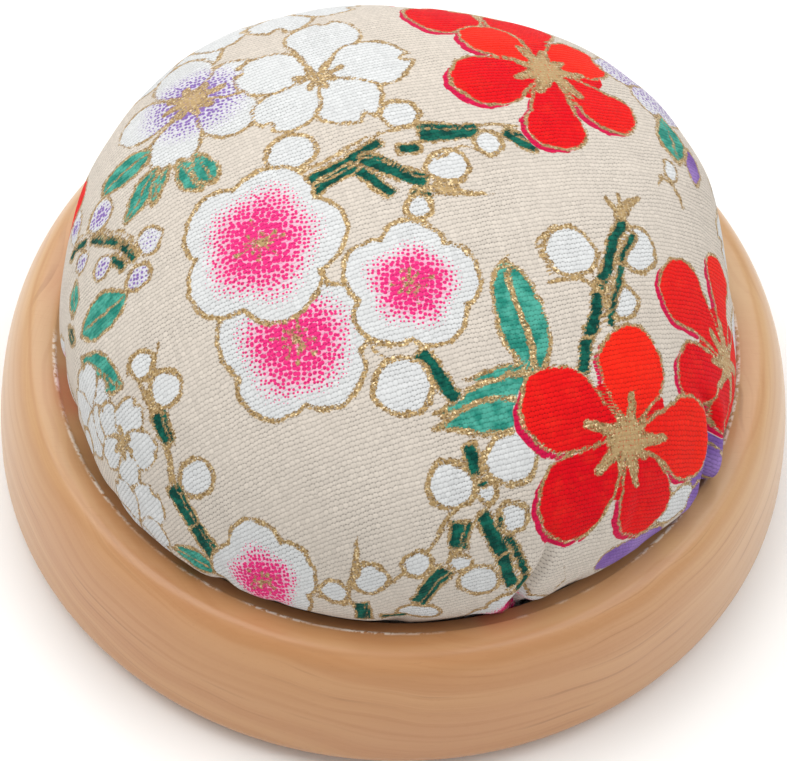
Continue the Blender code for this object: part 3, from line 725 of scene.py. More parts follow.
def cotton_material():
    M = Mat("printed_cotton_weave")
    cloth = M.attr("cloth", True)
    u = M.math("DIVIDE", M.vmath("DOT_PRODUCT", cloth, (math.cos(WEAVE_A), math.sin(WEAVE_A), 0.0)), PITCH_A)
    v = M.math("DIVIDE", M.vmath("DOT_PRODUCT", cloth, (math.cos(WEAVE_B), math.sin(WEAVE_B), 0.0)), PITCH_B)
    drift = M.math("MULTIPLY", M.math("SUBTRACT", M.noise(cloth, 0.30, 2.0, 0.5), 0.5), 1.3)
    drift2 = M.math("MULTIPLY", M.math("SUBTRACT", M.noise(M.vmath("ADD", cloth, (40.0, 9.0, 3.0)), 0.30, 2.0, 0.5), 0.5), 1.3)
    jit = M.math("MULTIPLY", M.math("SUBTRACT", M.noise(cloth, 1.6, 2.0, 0.5), 0.5), 0.45)
    u = M.math("ADD", M.math("ADD", u, drift), jit)
    v = M.math("ADD", M.math("ADD", v, drift2), jit)
    iu = M.math("FLOOR", u)
    iv = M.math("FLOOR", v)
    fu = M.math("ABSOLUTE", M.math("SUBTRACT", M.math("MULTIPLY", M.math("FRACT", u), 2.0), 1.0))
    fv = M.math("ABSOLUTE", M.math("SUBTRACT", M.math("MULTIPLY", M.math("FRACT", v), 2.0), 1.0))
    odd = M.math("GREATER_THAN", M.math("FRACT", M.math("MULTIPLY", M.math("ADD", iu, iv), 0.5)), 0.25)
    # the yarns running one way stand proud and hide most of the others
    ha = M.math("MULTIPLY", M.math("SUBTRACT", 1.0, M.math("POWER", fu, 2.6)), M.math("SUBTRACT", 1.0, M.math("MULTIPLY", M.math("POWER", fv, 3.0), 0.45)))
    hb = M.math("MULTIPLY", M.math("SUBTRACT", 1.0, M.math("POWER", fv, 2.2)), M.math("SUBTRACT", 1.0, M.math("MULTIPLY", M.math("POWER", fu, 2.4), 0.70)))
    h = M.mixf(odd, ha, M.math("MULTIPLY", hb, 0.80))
    cell = M.white(M.comb(iu, iv), "2D")
    thread_u = M.white(None, "1D", iu)
    thread_v = M.white(None, "1D", M.math("ADD", iv, 500.5))
    slub = M.mixf(odd, thread_u, thread_v)
    open_ = M.ramp(M.noise(cloth, 0.16, 3.0, 0.6), 0.38, 0.66, 0.25, 1.0)
    # edges of the print step from thread to thread
    wob = M.math("MULTIPLY", M.math("SUBTRACT", cell, 0.5), 0.15)
    def mask(name, soft=0.07, shift=0.0):
        return M.ramp(M.math("ADD", M.attr(name), M.math("ADD", wob, shift)), -soft, soft, 1.0, 0.0)
    vor = M.t.nodes.new("ShaderNodeTexVoronoi")
    vor.voronoi_dimensions = "2D"
    vor.feature = "F1"
    M.put(vor.inputs["Vector"], cloth)
    vor.inputs["Scale"].default_value = 1.0 / 0.50
    vor.inputs["Randomness"].default_value = 0.62
    dist = vor.outputs["Distance"]
    pink = M.attr("pink")
    lilac = M.attr("lilac")
    def dots(field, gain, power):
        thr = M.math("MULTIPLY", M.math("POWER", M.math("MAXIMUM", field, 0.0001), power), gain)
        d = M.math("SUBTRACT", dist, thr)
        return M.math("MULTIPLY", M.ramp(d, -0.08, 0.08, 1.0, 0.0), M.math("GREATER_THAN", field, 0.02))
    blotch = M.noise(cloth, 0.35, 3.0, 0.55)
    col = M.mix(M.noise(cloth, 0.06, 2.0), CREAM_1, CREAM_2)
    w = mask("white")
    col = M.mix(w, col, M.mix(blotch, WHITE_1, WHITE_2))
    wash = M.math("MULTIPLY", M.math("MULTIPLY", M.ramp(pink, 0.08, 0.75), 0.72), w)
    col = M.mix(wash, col, (0.86, 0.230, 0.430))
    col = M.mix(M.math("MULTIPLY", dots(pink, 0.62, 0.62), w), col, (0.740, 0.030, 0.190))
    col = M.mix(M.math("MULTIPLY", M.math("MULTIPLY", lilac, 0.40), w), col, (0.50, 0.40, 0.66))
    col = M.mix(M.math("MULTIPLY", dots(lilac, 0.52, 0.75), w), col, (0.230, 0.135, 0.400))
    col = M.mix(mask("crimson"), col, (0.560, 0.006, 0.060))
    col = M.mix(mask("purple"), col, M.mix(M.ramp(M.noise(cloth, 0.22, 2.0), 0.35, 0.7), (0.185, 0.095, 0.340), (0.290, 0.180, 0.470)))
    teal = M.mix(M.ramp(M.noise(cloth, 0.55, 3.0, 0.6), 0.38, 0.62), (0.018, 0.205, 0.155), (0.075, 0.365, 0.285))
    col = M.mix(mask("teal"), col, teal)
    green = M.mix(M.ramp(M.noise(cloth, 0.8, 3.0, 0.6), 0.4, 0.65), (0.002, 0.050, 0.038), (0.008, 0.122, 0.085))
    col = M.mix(mask("green"), col, green)
    red = M.mix(M.attr("warm"), (0.640, 0.0010, 0.0080), (0.820, 0.018, 0.0070))
    red = M.mix(M.ramp(M.noise(cloth, 0.5, 2.0, 0.6), 0.45, 0.75, 0.0, 0.20), red, (0.84, 0.045, 0.016))
    col = M.mix(mask("red"), col, red)
    # thread relief darkens the little gaps between threads; bumps of neighbouring rows are offset by half a pitch
    row = M.math("GREATER_THAN", M.math("FRACT", M.math("MULTIPLY", iu, 0.5)), 0.25)
    vs = M.math("ADD", v, M.math("MULTIPLY", row, 0.5))
    fs = M.math("ABSOLUTE", M.math("SUBTRACT", M.math("MULTIPLY", M.math("FRACT", vs), 2.0), 1.0))
    hole = M.math("MULTIPLY", M.ramp(fs, 0.50, 0.95), M.ramp(fu, 0.40, 0.90))
    even = M.math("MULTIPLY", M.math("SUBTRACT", 1.0, M.math("MULTIPLY", M.math("POWER", fs, 3.2), 0.60)), M.math("SUBTRACT", 1.0, M.math("MULTIPLY", M.math("POWER", fu, 2.0), 0.85)))
    edge = M.math("ADD", M.ramp(even, 0.05, 0.75, 0.87, 1.0), M.ramp(h, 0.10, 0.60, -0.02, 0.01))
    pit = M.math("SUBTRACT", 1.0, M.math("MULTIPLY", M.math("MULTIPLY", hole, open_), 0.55))
    tint = M.math("ADD", 0.94, M.math("MULTIPLY", slub, 0.09))
    shade = M.math("MULTIPLY", M.math("MULTIPLY", edge, pit), M.math("MULTIPLY", tint, M.math("ADD", 0.96, M.math("MULTIPLY", cell, 0.07))))
    col = M.mix(1.0, col, M.comb(shade, shade, shade), "MULTIPLY")
    # metallic ink: loose flakes of three tones, broken up by the weave
    flk = M.t.nodes.new("ShaderNodeTexVoronoi")
    flk.voronoi_dimensions = "2D"
    flk.feature = "F1"
    M.put(flk.inputs["Vector"], cloth)
    flk.inputs["Scale"].default_value = 1.0 / 0.165
    flake = M.xyz(flk.outputs["Color"])[0]
    grain = M.noise(cloth, 6.5, 2.0, 0.7)
    gold_sd = M.math("ADD", M.attr("gold"), M.math("MULTIPLY", M.math("SUBTRACT", grain, 0.5), 0.34))
    gold_sd = M.math("ADD", gold_sd, M.math("MULTIPLY", M.math("SUBTRACT", flake, 0.5), 0.16))
    gold = M.ramp(M.math("ADD", gold_sd, wob), -0.06, 0.06, 1.0, 0.0)
    gold = M.math("MULTIPLY", gold, M.ramp(M.math("ADD", h, M.math("MULTIPLY", flake, 0.7)), 0.15, 0.55, 0.35, 1.0))
    gcol = M.mix(M.ramp(flake, 0.10, 0.45), GOLD_DARK, GOLD_MID)
    gcol = M.mix(M.ramp(flake, 0.80, 0.94), gcol, GOLD_LIGHT)
    deep = M.ramp(M.attr("gold"), -0.26, -0.62, 0.0, 0.80)
    gcol = M.mix(deep, gcol, GOLD_BODY)
    col = M.mix(gold, col, gcol)
    M.set("Base Color", col)
    M.set("Metallic", M.math("MULTIPLY", M.math("MULTIPLY", gold, M.ramp(flake, 0.5, 0.9, 0.25, 0.60)), M.math("SUBTRACT", 1.0, M.math("MULTIPLY", deep, 0.55))))
    M.set("Roughness", M.mixf(gold, 0.88, M.math("ADD", M.ramp(flake, 0.4, 0.9, 0.60, 0.32), M.math("MULTIPLY", deep, 0.14))))
    M.b.inputs["Sheen Weight"].default_value = 0.04
    M.b.inputs["Sheen Roughness"].default_value = 0.5
    M.b.inputs["Specular IOR Level"].default_value = 0.07
    fuzz = M.noise(cloth, 5.0, 3.0, 0.7)
    height = M.math("ADD", M.math("ADD", M.math("MULTIPLY", h, 0.28), M.math("MULTIPLY", even, 0.85)), M.math("MULTIPLY", fuzz, 0.30))
    height = M.math("ADD", height, M.math("MULTIPLY", slub, 0.15))
    height = M.math("SUBTRACT", height, M.math("MULTIPLY", hole, 0.5))
    M.set("Normal", M.bump(height, 0.55, 0.00010 * K))
    return M.m


# -------------------------------------------------------------- wood material
WOOD_LIGHT, WOOD_DARK = (0.560, 0.350, 0.178), (0.500, 0.284, 0.130)
WOOD_PINK, WOOD_PALE = (0.520, 0.300, 0.168), (0.600, 0.392, 0.212)
WOOD_STREAK, WOOD_LINE = (0.420, 0.202, 0.080), (0.270, 0.120, 0.045)
NEAR_SIDE_SHADE_TINT = (0.92, 0.72, 0.56)

def wood_material():
    M = Mat("lacquered_pale_wood")
    p = M.scale(M.obj(), (1000.0 / K, 1000.0 / K, 1000.0 / K))       # millimetres
    sep = M.xyz(p)
    rad = M.math("SQRT", M.math("ADD", M.math("POWER", sep[0], 2.0), M.math("POWER", sep[1], 2.0)))
    bend = M.noise(M.scale(p, (0.020, 0.020, 0.03)), 1.0, 3.0, 0.55)
    # growth layers of the plank, nearly level, cut into rings by the lathe
    layer = M.math("ADD", M.math("MULTIPLY", sep[2], 0.60), M.math("ADD", M.math("MULTIPLY", sep[0], 0.045), M.math("MULTIPLY", sep[1], -0.035)))
    layer = M.math("ADD", layer, M.math("MULTIPLY", bend, 7.0))
    layer = M.math("ADD", layer, M.math("MULTIPLY", rad, -0.34))
    def line_noise(offset, scale, detail, rough):
        n = M.t.nodes.new("ShaderNodeTexNoise")
        n.noise_dimensions = "1D"
        M.put(n.inputs["W"], M.math("ADD", layer, offset))
        n.inputs["Scale"].default_value = scale
        n.inputs["Detail"].default_value = detail
        n.inputs["Roughness"].default_value = rough
        return n.outputs["Fac"]
    bands = line_noise(0.0, 0.55, 2.0, 0.5)
    streak = line_noise(31.0, 2.6, 4.0, 0.65)
    thin = M.ramp(line_noise(77.0, 1.7, 2.0, 0.55), 0.62, 0.70)
    # streaks fade in and out along their length
    fade = M.ramp(M.noise(M.scale(p, (0.055, 0.055, 0.12)), 1.0, 2.0, 0.5), 0.40, 0.62)
    fade2 = M.ramp(M.noise(M.vmath("ADD", M.scale(p, (0.075, 0.075, 0.15)), (9.0, 4.0, 1.0)), 1.0, 2.0, 0.5), 0.45, 0.66)
    # fibre flecks run round the plank's X direction
    fibre = M.noise(M.scale(p, (0.16, 3.0, 1.6)), 1.0, 4.0, 0.68)
    pores = M.ramp(M.noise(M.scale(p, (0.45, 7.5, 7.5)), 1.0, 2.0, 0.6), 0.62, 0.76)
    patch = M.noise(M.scale(p, (0.035, 0.045, 0.06)), 1.0, 2.0, 0.5)
    col = M.mix(M.ramp(bands, 0.36, 0.66), WOOD_LIGHT, WOOD_DARK)
    col = M.mix(M.ramp(patch, 0.34, 0.70, 0.0, 0.45), col, WOOD_PINK)
    col = M.mix(M.math("MULTIPLY", M.ramp(streak, 0.44, 0.66), M.math("MULTIPLY", fade, 0.26)), col, WOOD_STREAK)
    col = M.mix(M.math("MULTIPLY", M.ramp(streak, 0.56, 0.36), M.math("MULTIPLY", fade2, 0.16)), col, WOOD_PALE)
    col = M.mix(M.math("MULTIPLY", thin, M.math("MULTIPLY", fade2, 0.42)), col, WOOD_LINE)
    col = M.mix(M.ramp(fibre, 0.38, 0.72, 0.0, 0.13), col, WOOD_PALE)
    col = M.mix(M.math("MULTIPLY", pores, 0.16), col, WOOD_LINE)
    # painted shade: the near half of the dish, the side facing the camera, is tinted darker and warmer
    near_side_shade = M.ramp(M.math("ADD", sep[1], M.math("ADD", M.math("MULTIPLY", bend, 26.0), M.math("MULTIPLY", sep[0], 0.12))), 8.0, -26.0, 0.0, 1.0)
    col = M.mix(M.math("MULTIPLY", near_side_shade, 0.80), col, M.mix(1.0, col, NEAR_SIDE_SHADE_TINT, "MULTIPLY"))
    # one fine darker growth line followed by the lathe round the crown
    ring = M.math("ADD", rad, M.math("MULTIPLY", M.math("SUBTRACT", M.noise(M.scale(p, (0.05, 0.05, 0.05)), 1.0, 2.0, 0.5), 0.5), 2.2))
    def hoop(r0, wide, amount, c, keep):
        d = M.math("ABSOLUTE", M.math("SUBTRACT", ring, r0))
        on = M.math("MULTIPLY", M.ramp(d, wide, 0.0, 0.0, 1.0), M.ramp(keep, 0.36, 0.56, 0.15, 1.0))
        return M.mix(M.math("MULTIPLY", on, amount), col, c)
    high = M.ramp(sep[2], 10.0, 13.0)
    part = M.math("MULTIPLY", M.noise(M.scale(p, (0.04, 0.04, 0.2)), 1.0, 2.0, 0.5), high)
    col = hoop(39.1, 0.30, 0.42, WOOD_STREAK, part)
    col = hoop(40.3, 0.55, 0.26, WOOD_STREAK, part)
    # painted highlight: a pale band along the crest of the crown
    col = hoop(38.2, 0.80, 0.22, WOOD_PALE, part)
    # painted highlight: pale flecks in patches along the inner edge
    top = M.math("MULTIPLY", M.ramp(M.math("ABSOLUTE", M.math("SUBTRACT", rad, 36.30)), 0.34, 0.08, 0.0, 1.0), M.ramp(sep[2], BASE_H / MM - 0.75, BASE_H / MM - 0.55))
    painted_edge_highlight = M.math("MULTIPLY", top, M.ramp(M.noise(M.scale(p, (0.10, 0.10, 0.10)), 1.0, 2.0, 0.5), 0.42, 0.54))
    painted_edge_highlight = M.math("MULTIPLY", painted_edge_highlight, M.ramp(M.noise(M.scale(p, (1.9, 1.9, 1.9)), 1.0, 2.0, 0.6), 0.38, 0.55))
    col = M.mix(M.math("MULTIPLY", painted_edge_highlight, 0.80), col, (0.93, 0.87, 0.78))
    # painted shade: inside the edge the recess wall is darker and redder
    inside = M.ramp(rad, 36.15, 35.2)
    col = M.mix(M.math("MULTIPLY", inside, 0.25), col, M.mix(1.0, col, (0.80, 0.62, 0.52), "MULTIPLY"))
    M.set("Base Color", col)
    M.set("Roughness", M.ramp(M.math("ADD", M.math("MULTIPLY", fibre, 0.6), M.math("MULTIPLY", pores, 0.4)), 0.2, 0.8, 0.40, 0.56))
    M.b.inputs["Specular IOR Level"].default_value = 0.40
    M.b.inputs["Coat Weight"].default_value = 0.30
    M.b.inputs["Coat Roughness"].default_value = 0.16
    M.b.inputs["Coat IOR"].default_value = 1.48
    turn = M.noise(M.comb(M.math("MULTIPLY", rad, 7.0), M.math("MULTIPLY", sep[2], 7.0), 0.0), 1.0, 2.0, 0.5)
    height = M.math("ADD", M.math("MULTIPLY", turn, 0.30), M.math("MULTIPLY", M.math("SUBTRACT", 1.0, pores), 0.30))
    height = M.math("ADD", height, M.math("MULTIPLY", fibre, 0.30))
    M.set("Normal", M.bump(height, 0.30, 0.00005 * K))
    return M.m


def fibre_material():
    M = Mat("polyester_fibre")
    p = M.scale(M.obj(), (1000.0 / K,) * 3)
    n1 = M.noise(p, 0.9, 5.0, 0.7, 2.5)
    n2 = M.noise(M.scale(p, (0.4, 2.8, 2.8)), 1.0, 4.0, 0.7, 1.5)
    col = M.mix(M.ramp(n1, 0.3, 0.7), (0.78, 0.77, 0.74), (0.90, 0.90, 0.89))
    col = M.mix(M.ramp(n2, 0.45, 0.7, 0.0, 0.3), col, (0.95, 0.95, 0.95))
    M.set("Base Color", col)
    M.set("Roughness", M.ramp(n1, 0.2, 0.8, 0.85, 1.0))
    M.b.inputs["Sheen Weight"].default_value = 0.5
    M.set("Normal", M.bump(M.math("ADD", n1, n2), 0.8, 0.0004 * K))
    return M.m

def card_material():
    M = Mat("grey_board")
    p = M.scale(M.obj(), (1000.0 / K,) * 3)
    speck = M.noise(p, 2.2, 4.0, 0.7)
    ply = M.t.nodes.new("ShaderNodeTexNoise")
    ply.noise_dimensions = "1D"
    M.put(ply.inputs["W"], M.math("MULTIPLY", M.xyz(p)[2], 6.0))
    ply.inputs["Scale"].default_value = 1.0
    col = M.mix(M.ramp(speck, 0.35, 0.65), (0.250, 0.225, 0.185), (0.340, 0.310, 0.262))
    col = M.mix(M.ramp(ply.outputs["Fac"], 0.4, 0.6, 0.0, 0.35), col, (0.190, 0.168, 0.135))
    M.set("Base Color", col)
    M.set("Roughness", M.ramp(speck, 0.2, 0.8, 0.82, 0.95))
    M.set("Normal", M.bump(speck, 0.4, 0.00006 * K))
    return M.m

def thread_material():
    M = Mat("cotton_twist")
    p = M.scale(M.obj(), (1000.0 / K,) * 3)
    n = M.noise(p, 4.5, 4.0, 0.65, 0.8)
    col = M.mix(M.ramp(n, 0.3, 0.7), (0.62, 0.58, 0.50), (0.80, 0.77, 0.70))
    M.set("Base Color", col)
    M.set("Roughness", M.ramp(n, 0.2, 0.8, 0.78, 0.92))
    M.b.inputs["Sheen Weight"].default_value = 0.3
    M.set("Normal", M.bump(n, 0.6, 0.00005 * K))
    return M.m

def glue_material():
    M = Mat("set_craft_glue")
    p = M.scale(M.obj(), (1000.0 / K,) * 3)
    n = M.noise(p, 0.8, 3.0, 0.55, 0.6)
    b = M.ramp(M.noise(p, 3.4, 2.0, 0.5), 0.62, 0.70)
    col = M.mix(M.ramp(n, 0.3, 0.7), (0.560, 0.480, 0.320), (0.700, 0.640, 0.500))
    col = M.mix(M.math("MULTIPLY", b, 0.4), col, (0.82, 0.79, 0.70))
    M.set("Base Color", col)
    M.set("Roughness", M.ramp(n, 0.2, 0.8, 0.28, 0.46))
    M.set("Normal", M.bump(n, 0.5, 0.0003 * K))
    return M.m

def floor_material():
    M = Mat("pale_paper_floor")
    p = M.obj()
    n = M.noise(p, 60.0, 3.0, 0.6)
    M.set("Base Color", M.mix(n, (0.875, 0.872, 0.866), (0.895, 0.893, 0.888)))
    M.set("Roughness", M.ramp(n, 0.3, 0.7, 0.72, 0.82))
    M.b.inputs["Specular IOR Level"].default_value = 0.2
    return M.m


# ------------------------------------------------------------- build: cover
def build_cover():
    Xc, Yc = chart_grid(COARSE)
    P0, N0, s0, ph0, r0 = on_dome(Xc, Yc)
    D = np.zeros(P0.shape)
    start = P0 - N0 * (0.55 * (1 - smooth(S_LIP - 1.0, S_LIP + 3.0, s0)))[..., None]
    S = simulate(start, s0, grid_faces(COARSE))
    D = S - P0
    # keep the wrinkles, not the general swelling: take out each ring's mean
    along = (D * N0).sum(-1)
    bins = np.clip((s0 / 1.5).astype(int), 0, 80)
    total = np.zeros(81)
    count = np.zeros(81)
    np.add.at(total, bins.ravel(), along.ravel())
    np.add.at(count, bins.ravel(), 1.0)
    mean = total / np.maximum(count, 1)
    known = count > 0
    mean = np.interp(np.arange(81), np.arange(81)[known], mean[known])
    along = along - np.interp(s0 / 1.5 - 0.5, np.arange(81), mean)
    limit = 0.9 * (1 - smooth(S_LIP + 1.0, S_LIP + 4.0, s0)) + 0.02
    along = limit * np.tanh(along / limit)
    D = N0 * along[..., None]
    X, Y = chart_grid(FINE)
    P, N, s, ph, r = on_dome(X, Y)
    P = P + refine(D, COARSE, FINE)
    shown = 1 - smooth(S_LIP + 0.5, S_LIP + 4.0, s)
    P = P + N * (tucks(s, ph, r) * shown_low(s) + lumps(P) * shown)[..., None]
    under = smooth(S_END - 21.0, S_END - 14.0, s)
    P[..., 2] -= 0.42 * under
    P = P + N * gathers(s, ph)[..., None]
    # stay clear of the recess wall and the card
    rr = np.hypot(P[..., 0], P[..., 1])
    H = BASE_H / MM
    wall = np.interp(P[..., 2], [H - 1.6, H - 1.34, H - 0.34, H + 0.3], [34.0, 34.35, 36.0, 40.0])
    f = np.where(rr > wall, wall / np.maximum(rr, 1e-6), 1.0)
    P[..., 0] *= f
    P[..., 1] *= f
    P[..., 2] = np.clip(P[..., 2], 6.42, None)
    ob = mesh_from("printed_cotton_cover", P.reshape(-1, 3) * MM, grid_faces(FINE))
    me = ob.data
    pr = Print(X.ravel(), Y.ravel())
    draw(pr)
    near = lambda a: np.clip(a, -3.0, 3.0)
    for name, values in [("white", near(pr.f["white"])), ("red", near(pr.f["red"])), ("crimson", near(pr.f["crimson"])),
                         ("green", near(pr.f["green"])), ("teal", near(pr.f["teal"])), ("purple", near(pr.f["purple"])),
                         ("gold", near(pr.gold)), ("pink", pr.pink), ("lilac", pr.lilac), ("warm", pr.warm)]:
        at = me.attributes.new(name, "FLOAT", "POINT")
        at.data.foreach_set("value", values.astype(np.float32))
    at = me.attributes.new("cloth", "FLOAT_VECTOR", "POINT")
    at.data.foreach_set("vector", np.stack([X.ravel(), Y.ravel(), np.zeros(X.size)], 1).astype(np.float32).ravel())
    me.materials.append(cotton_material())
    return ob

def build_base():
    ob = revolve_mesh("turned_dish", base_outline(120) * MM, 288)
    ob.data.materials.append(wood_material())
    return ob

def build_stuffing():
    """Packed fibre under the cloth: follows its inner side, uneven and matted."""
    n = 96
    X, Y = chart_grid(n)
    lim = S_END - 13.0
    f = np.minimum(1.0, 1.0)
    s = np.hypot(X, Y)
    k = np.where(s > 1e-6, (s * lim / S_END) / np.maximum(s, 1e-6), 1.0)
    X, Y = X * k, Y * k
    P, N, s, ph, r = on_dome(X, Y)
    P = P - N * (0.75 + 0.10 * np.sin(1.7 * P[..., 0]) * np.sin(1.9 * P[..., 1] + P[..., 2]))[..., None]
    t = tucks(s, ph, r)
    P = P + N * np.minimum(t, 0.0)[..., None] * (1 - smooth(S_LIP, S_LIP + 4, s))[..., None]
    P[..., 2] = np.maximum(P[..., 2], FILL_LO.z / MM)
    V = P.reshape(-1, 3)
    rim = np.concatenate([np.arange(n), np.arange(n) * (n + 1) + n, (np.arange(n, 0, -1)) + n * (n + 1), np.arange(n, 0, -1) * (n + 1)])
    ob = mesh_from("fibre_filling", V * MM, grid_faces(n))
    bm = bmesh.new()
    bm.from_mesh(ob.data)
    bm.verts.ensure_lookup_table()
    ring = [bm.verts[int(i)] for i in rim]
    centre = bm.verts.new((0.0, 0.0, FILL_LO.z))
    for i in range(len(ring)):
        bm.faces.new((ring[(i + 1) % len(ring)], ring[i], centre))
    bmesh.ops.recalc_face_normals(bm, faces=bm.faces[:])
    bm.to_mesh(ob.data)
    bm.free()
    for p in ob.data.polygons:
        p.use_smooth = True
    ob.data.materials.append(fibre_material())
    return ob

def build_thread():
    """Two-ply thread drawn round the mouth of the gathers, ends laid inwards."""
    lo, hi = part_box("gathering_thread")
    z = 0.5 * (lo.z + hi.z)
    ring, half = 0.0163 * K, math.radians(5.0)
    path = []
    for k in range(24):
        f = k / 24
        path.append(Vector((ring - 0.0075 * K + f * 0.0066 * K, 0.00052 * K, z)))
    for k in range(361):
        a = half + (2 * math.pi - 2 * half) * k / 360
        r = ring + 0.00016 * K * math.sin(a * 30)
        path.append(Vector((r * math.cos(a), r * math.sin(a), z)))
    for k in range(24):
        f = 1 - (k + 1) / 24
        path.append(Vector((ring - 0.0075 * K + f * 0.0066 * K, -0.00052 * K, z)))
    bm = bmesh.new()
    sides = 7
    for ply in range(2):
        rings = []
        for i, c in enumerate(path):
            t = (path[min(i + 1, len(path) - 1)] - path[max(i - 1, 0)]).normalized()
            side = t.cross(Vector((0, 0, 1))).normalized()
            upv = side.cross(t)
            a = i * 0.42 + ply * math.pi
            cc = c + (side * math.cos(a) + upv * math.sin(a)) * 0.000135 * K
            rad = 0.000165 * K
            rings.append([bm.verts.new(cc + (side * math.cos(2 * math.pi * j / sides) + upv * math.sin(2 * math.pi * j / sides)) * rad) for j in range(sides)])
        for a, b in zip(rings[:-1], rings[1:]):
            for j in range(sides):
                m = (j + 1) % sides
                bm.faces.new((a[j], b[j], b[m], a[m]))
        bm.faces.new(rings[0])
        bm.faces.new(list(reversed(rings[-1])))
    bmesh.ops.recalc_face_normals(bm, faces=bm.faces[:])
    me = bpy.data.meshes.new("drawn_thread")
    bm.to_mesh(me)
    bm.free()
    for p in me.polygons:
        p.use_smooth = True
    ob = bpy.data.objects.new("drawn_thread", me)
    SCENE.collection.objects.link(ob)
    me.materials.append(thread_material())
    return ob

def build_card():
    """Grey board disc, edge slightly crushed, face a touch wavy."""
    lo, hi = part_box("backing_card")
    R, z0, z1 = hi.x / MM, lo.z / MM, hi.z / MM
    seg, rings = 160, 30
    a = np.linspace(0, 2 * math.pi, seg, endpoint=False)
    prof = [(R * k / rings, z1) for k in range(1, rings)] + [(R - 0.12, z1), (R, z1 - 0.16), (R + 0.02, 0.5 * (z0 + z1)), (R, z0 + 0.16), (R - 0.12, z0)] + [(R * k / rings, z0) for k in range(rings - 1, 0, -1)]
    V = []
    for r, z in prof:
        w = 0.05 * np.sin(3 * a + 0.4 * r) * (r / R) + 0.03 * np.sin(7 * a) * (r / R) ** 3
        rr = r + (0.05 * np.sin(11 * a) + 0.03 * np.sin(23 * a + 1)) * (1.0 if r > R - 0.3 else 0.0)
        V.append(np.stack([rr * np.cos(a), rr * np.sin(a), z + w - 0.04], 1))
    V = np.concatenate(V + [[[0, 0, z1 - 0.04]], [[0, 0, z0 - 0.04]]])
    n = len(prof)
    bm = bmesh.new()
    vs = [bm.verts.new(v * MM) for v in V]
    for k in range(n - 1):
        for i in range(seg):
            j = (i + 1) % seg
            bm.faces.new((vs[k * seg + i], vs[(k + 1) * seg + i], vs[(k + 1) * seg + j], vs[k * seg + j]))
    for i in range(seg):
        j = (i + 1) % seg
        bm.faces.new((vs[i], vs[j], vs[-2]))
        bm.faces.new((vs[(n - 1) * seg + j], vs[(n - 1) * seg + i], vs[-1]))
    bmesh.ops.recalc_face_normals(bm, faces=bm.faces[:])
    me = bpy.data.meshes.new("grey_card_disc")
    bm.to_mesh(me)
    bm.free()
    for q in me.polygons:
        q.use_smooth = True
    ob = bpy.data.objects.new("grey_card_disc", me)
    SCENE.collection.objects.link(ob)
    me.materials.append(card_material())
    return ob

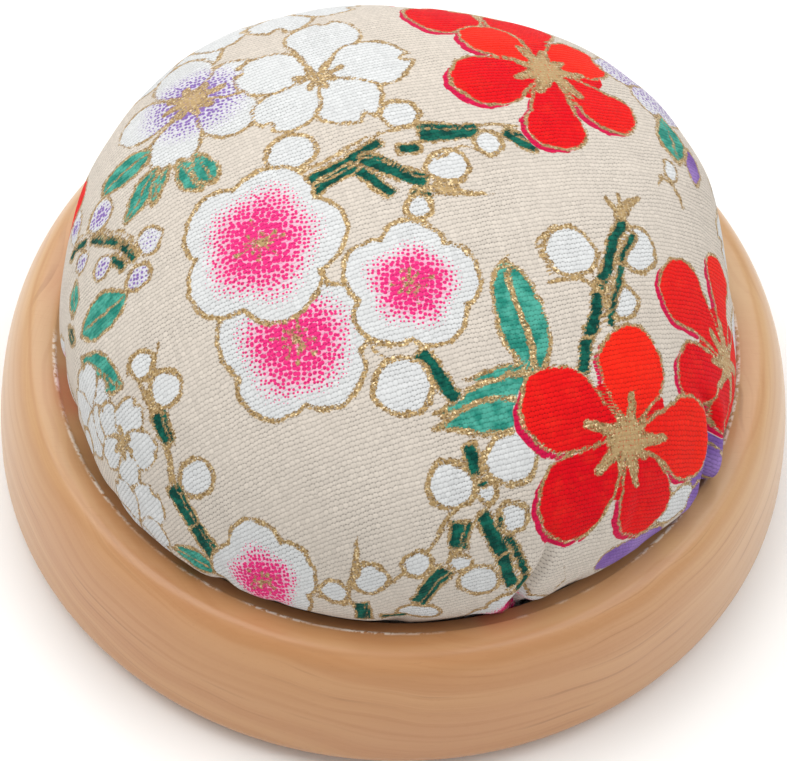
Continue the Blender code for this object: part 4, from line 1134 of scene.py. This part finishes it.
def build_glue():
    """Bead of set glue squeezed flat between the recess floor and the gathers."""
    lo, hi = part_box("glue_ring")
    Ro, z0 = hi.x / MM, lo.z / MM
    Ri = 18.8
    seg, rings = 420, 12
    a = np.linspace(0, 2 * math.pi, seg, endpoint=False)
    edge_o = Ro - 0.55 + 0.35 * np.sin(3 * a + 0.5) + 0.18 * np.sin(8 * a + 2.0)
    edge_i = Ri + 0.55 + 0.32 * np.sin(4 * a + 1.1) + 0.15 * np.sin(9 * a)
    V = []
    for k in range(rings + 1):
        f = k / rings
        r = edge_i * (1 - f) + edge_o * f
        swell = math.sin(math.pi * min(max(f, 0.0), 1.0)) ** 0.45
        z = z0 + 0.02 + swell * (0.26 + 0.05 * np.sin(5 * a + 2 * f) + 0.03 * np.sin(17 * a - f))
        V.append(np.stack([r * np.cos(a), r * np.sin(a), z], 1))
    for k in range(rings - 1, 0, -1):
        f = k / rings
        r = edge_i * (1 - f) + edge_o * f
        V.append(np.stack([r * np.cos(a), r * np.sin(a), np.full(seg, z0)], 1))
    n = len(V)
    V = np.concatenate(V)
    bm = bmesh.new()
    vs = [bm.verts.new(v * MM) for v in V]
    for k in range(n):
        m = (k + 1) % n
        for i in range(seg):
            j = (i + 1) % seg
            bm.faces.new((vs[k * seg + i], vs[k * seg + j], vs[m * seg + j], vs[m * seg + i]))
    bmesh.ops.recalc_face_normals(bm, faces=bm.faces[:])
    me = bpy.data.meshes.new("craft_glue_bead")
    bm.to_mesh(me)
    bm.free()
    for q in me.polygons:
        q.use_smooth = True
    ob = bpy.data.objects.new("craft_glue_bead", me)
    SCENE.collection.objects.link(ob)
    me.materials.append(glue_material())
    return ob

def build_studio():
    bm = bmesh.new()
    bmesh.ops.create_grid(bm, x_segments=8, y_segments=8, size=3.0)
    me = bpy.data.meshes.new("studio_floor")
    bm.to_mesh(me)
    bm.free()
    floor = bpy.data.objects.new("studio_floor", me)
    floor.location = (0, 0, -0.00005)
    SCENE.collection.objects.link(floor)
    me.materials.append(floor_material())
    world = bpy.data.worlds.new("studio_world")
    SCENE.world = world
    world.use_nodes = True
    bg = world.node_tree.nodes["Background"]
    bg.inputs[0].default_value = (1.0, 0.995, 0.985, 1.0)
    bg.inputs[1].default_value = 0.62
    def area(name, place, size, power, colour=(1, 1, 1), target=(0, 0, 0.02)):
        d = bpy.data.lights.new(name, "AREA")
        d.shape = "RECTANGLE"
        d.size, d.size_y = size
        d.energy = power
        d.color = colour
        o = bpy.data.objects.new(name, d)
        o.location = place
        o.rotation_euler = (Vector(target) - Vector(place)).to_track_quat("-Z", "Y").to_euler()
        SCENE.collection.objects.link(o)
        return o
    area("left_softbox", (-0.44, 0.04, 0.84), (0.6, 0.7), 4.1, (1.0, 0.99, 0.97))
    area("right_softbox", (0.46, -0.02, 0.82), (0.6, 0.7), 3.15, (1.0, 0.995, 0.985))
    area("top_softbox", (-0.04, 0.46, 0.82), (0.6, 0.4), 1.9, (1.0, 1.0, 1.0))
    area("back_strip", (-0.28, 0.80, 0.26), (0.5, 0.10), 1.3, (1.0, 1.0, 1.0))


# ------------------------------------------------------------------ assemble
build_studio()
base = build_base()
cover = build_cover()
fill = build_stuffing()
thread = build_thread()
card = build_card()
glue = build_glue()
for ob, node, slot in ((base, "wooden_base", "turned_wood"), (cover, "cushion_cover", "printed_cotton"),
                       (fill, "stuffing", "fibre_filling"), (thread, "gathering_thread", "thread"),
                       (card, "backing_card", "card"), (glue, "glue_ring", "set_glue")):
    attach(ob, "root")
    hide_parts(node)
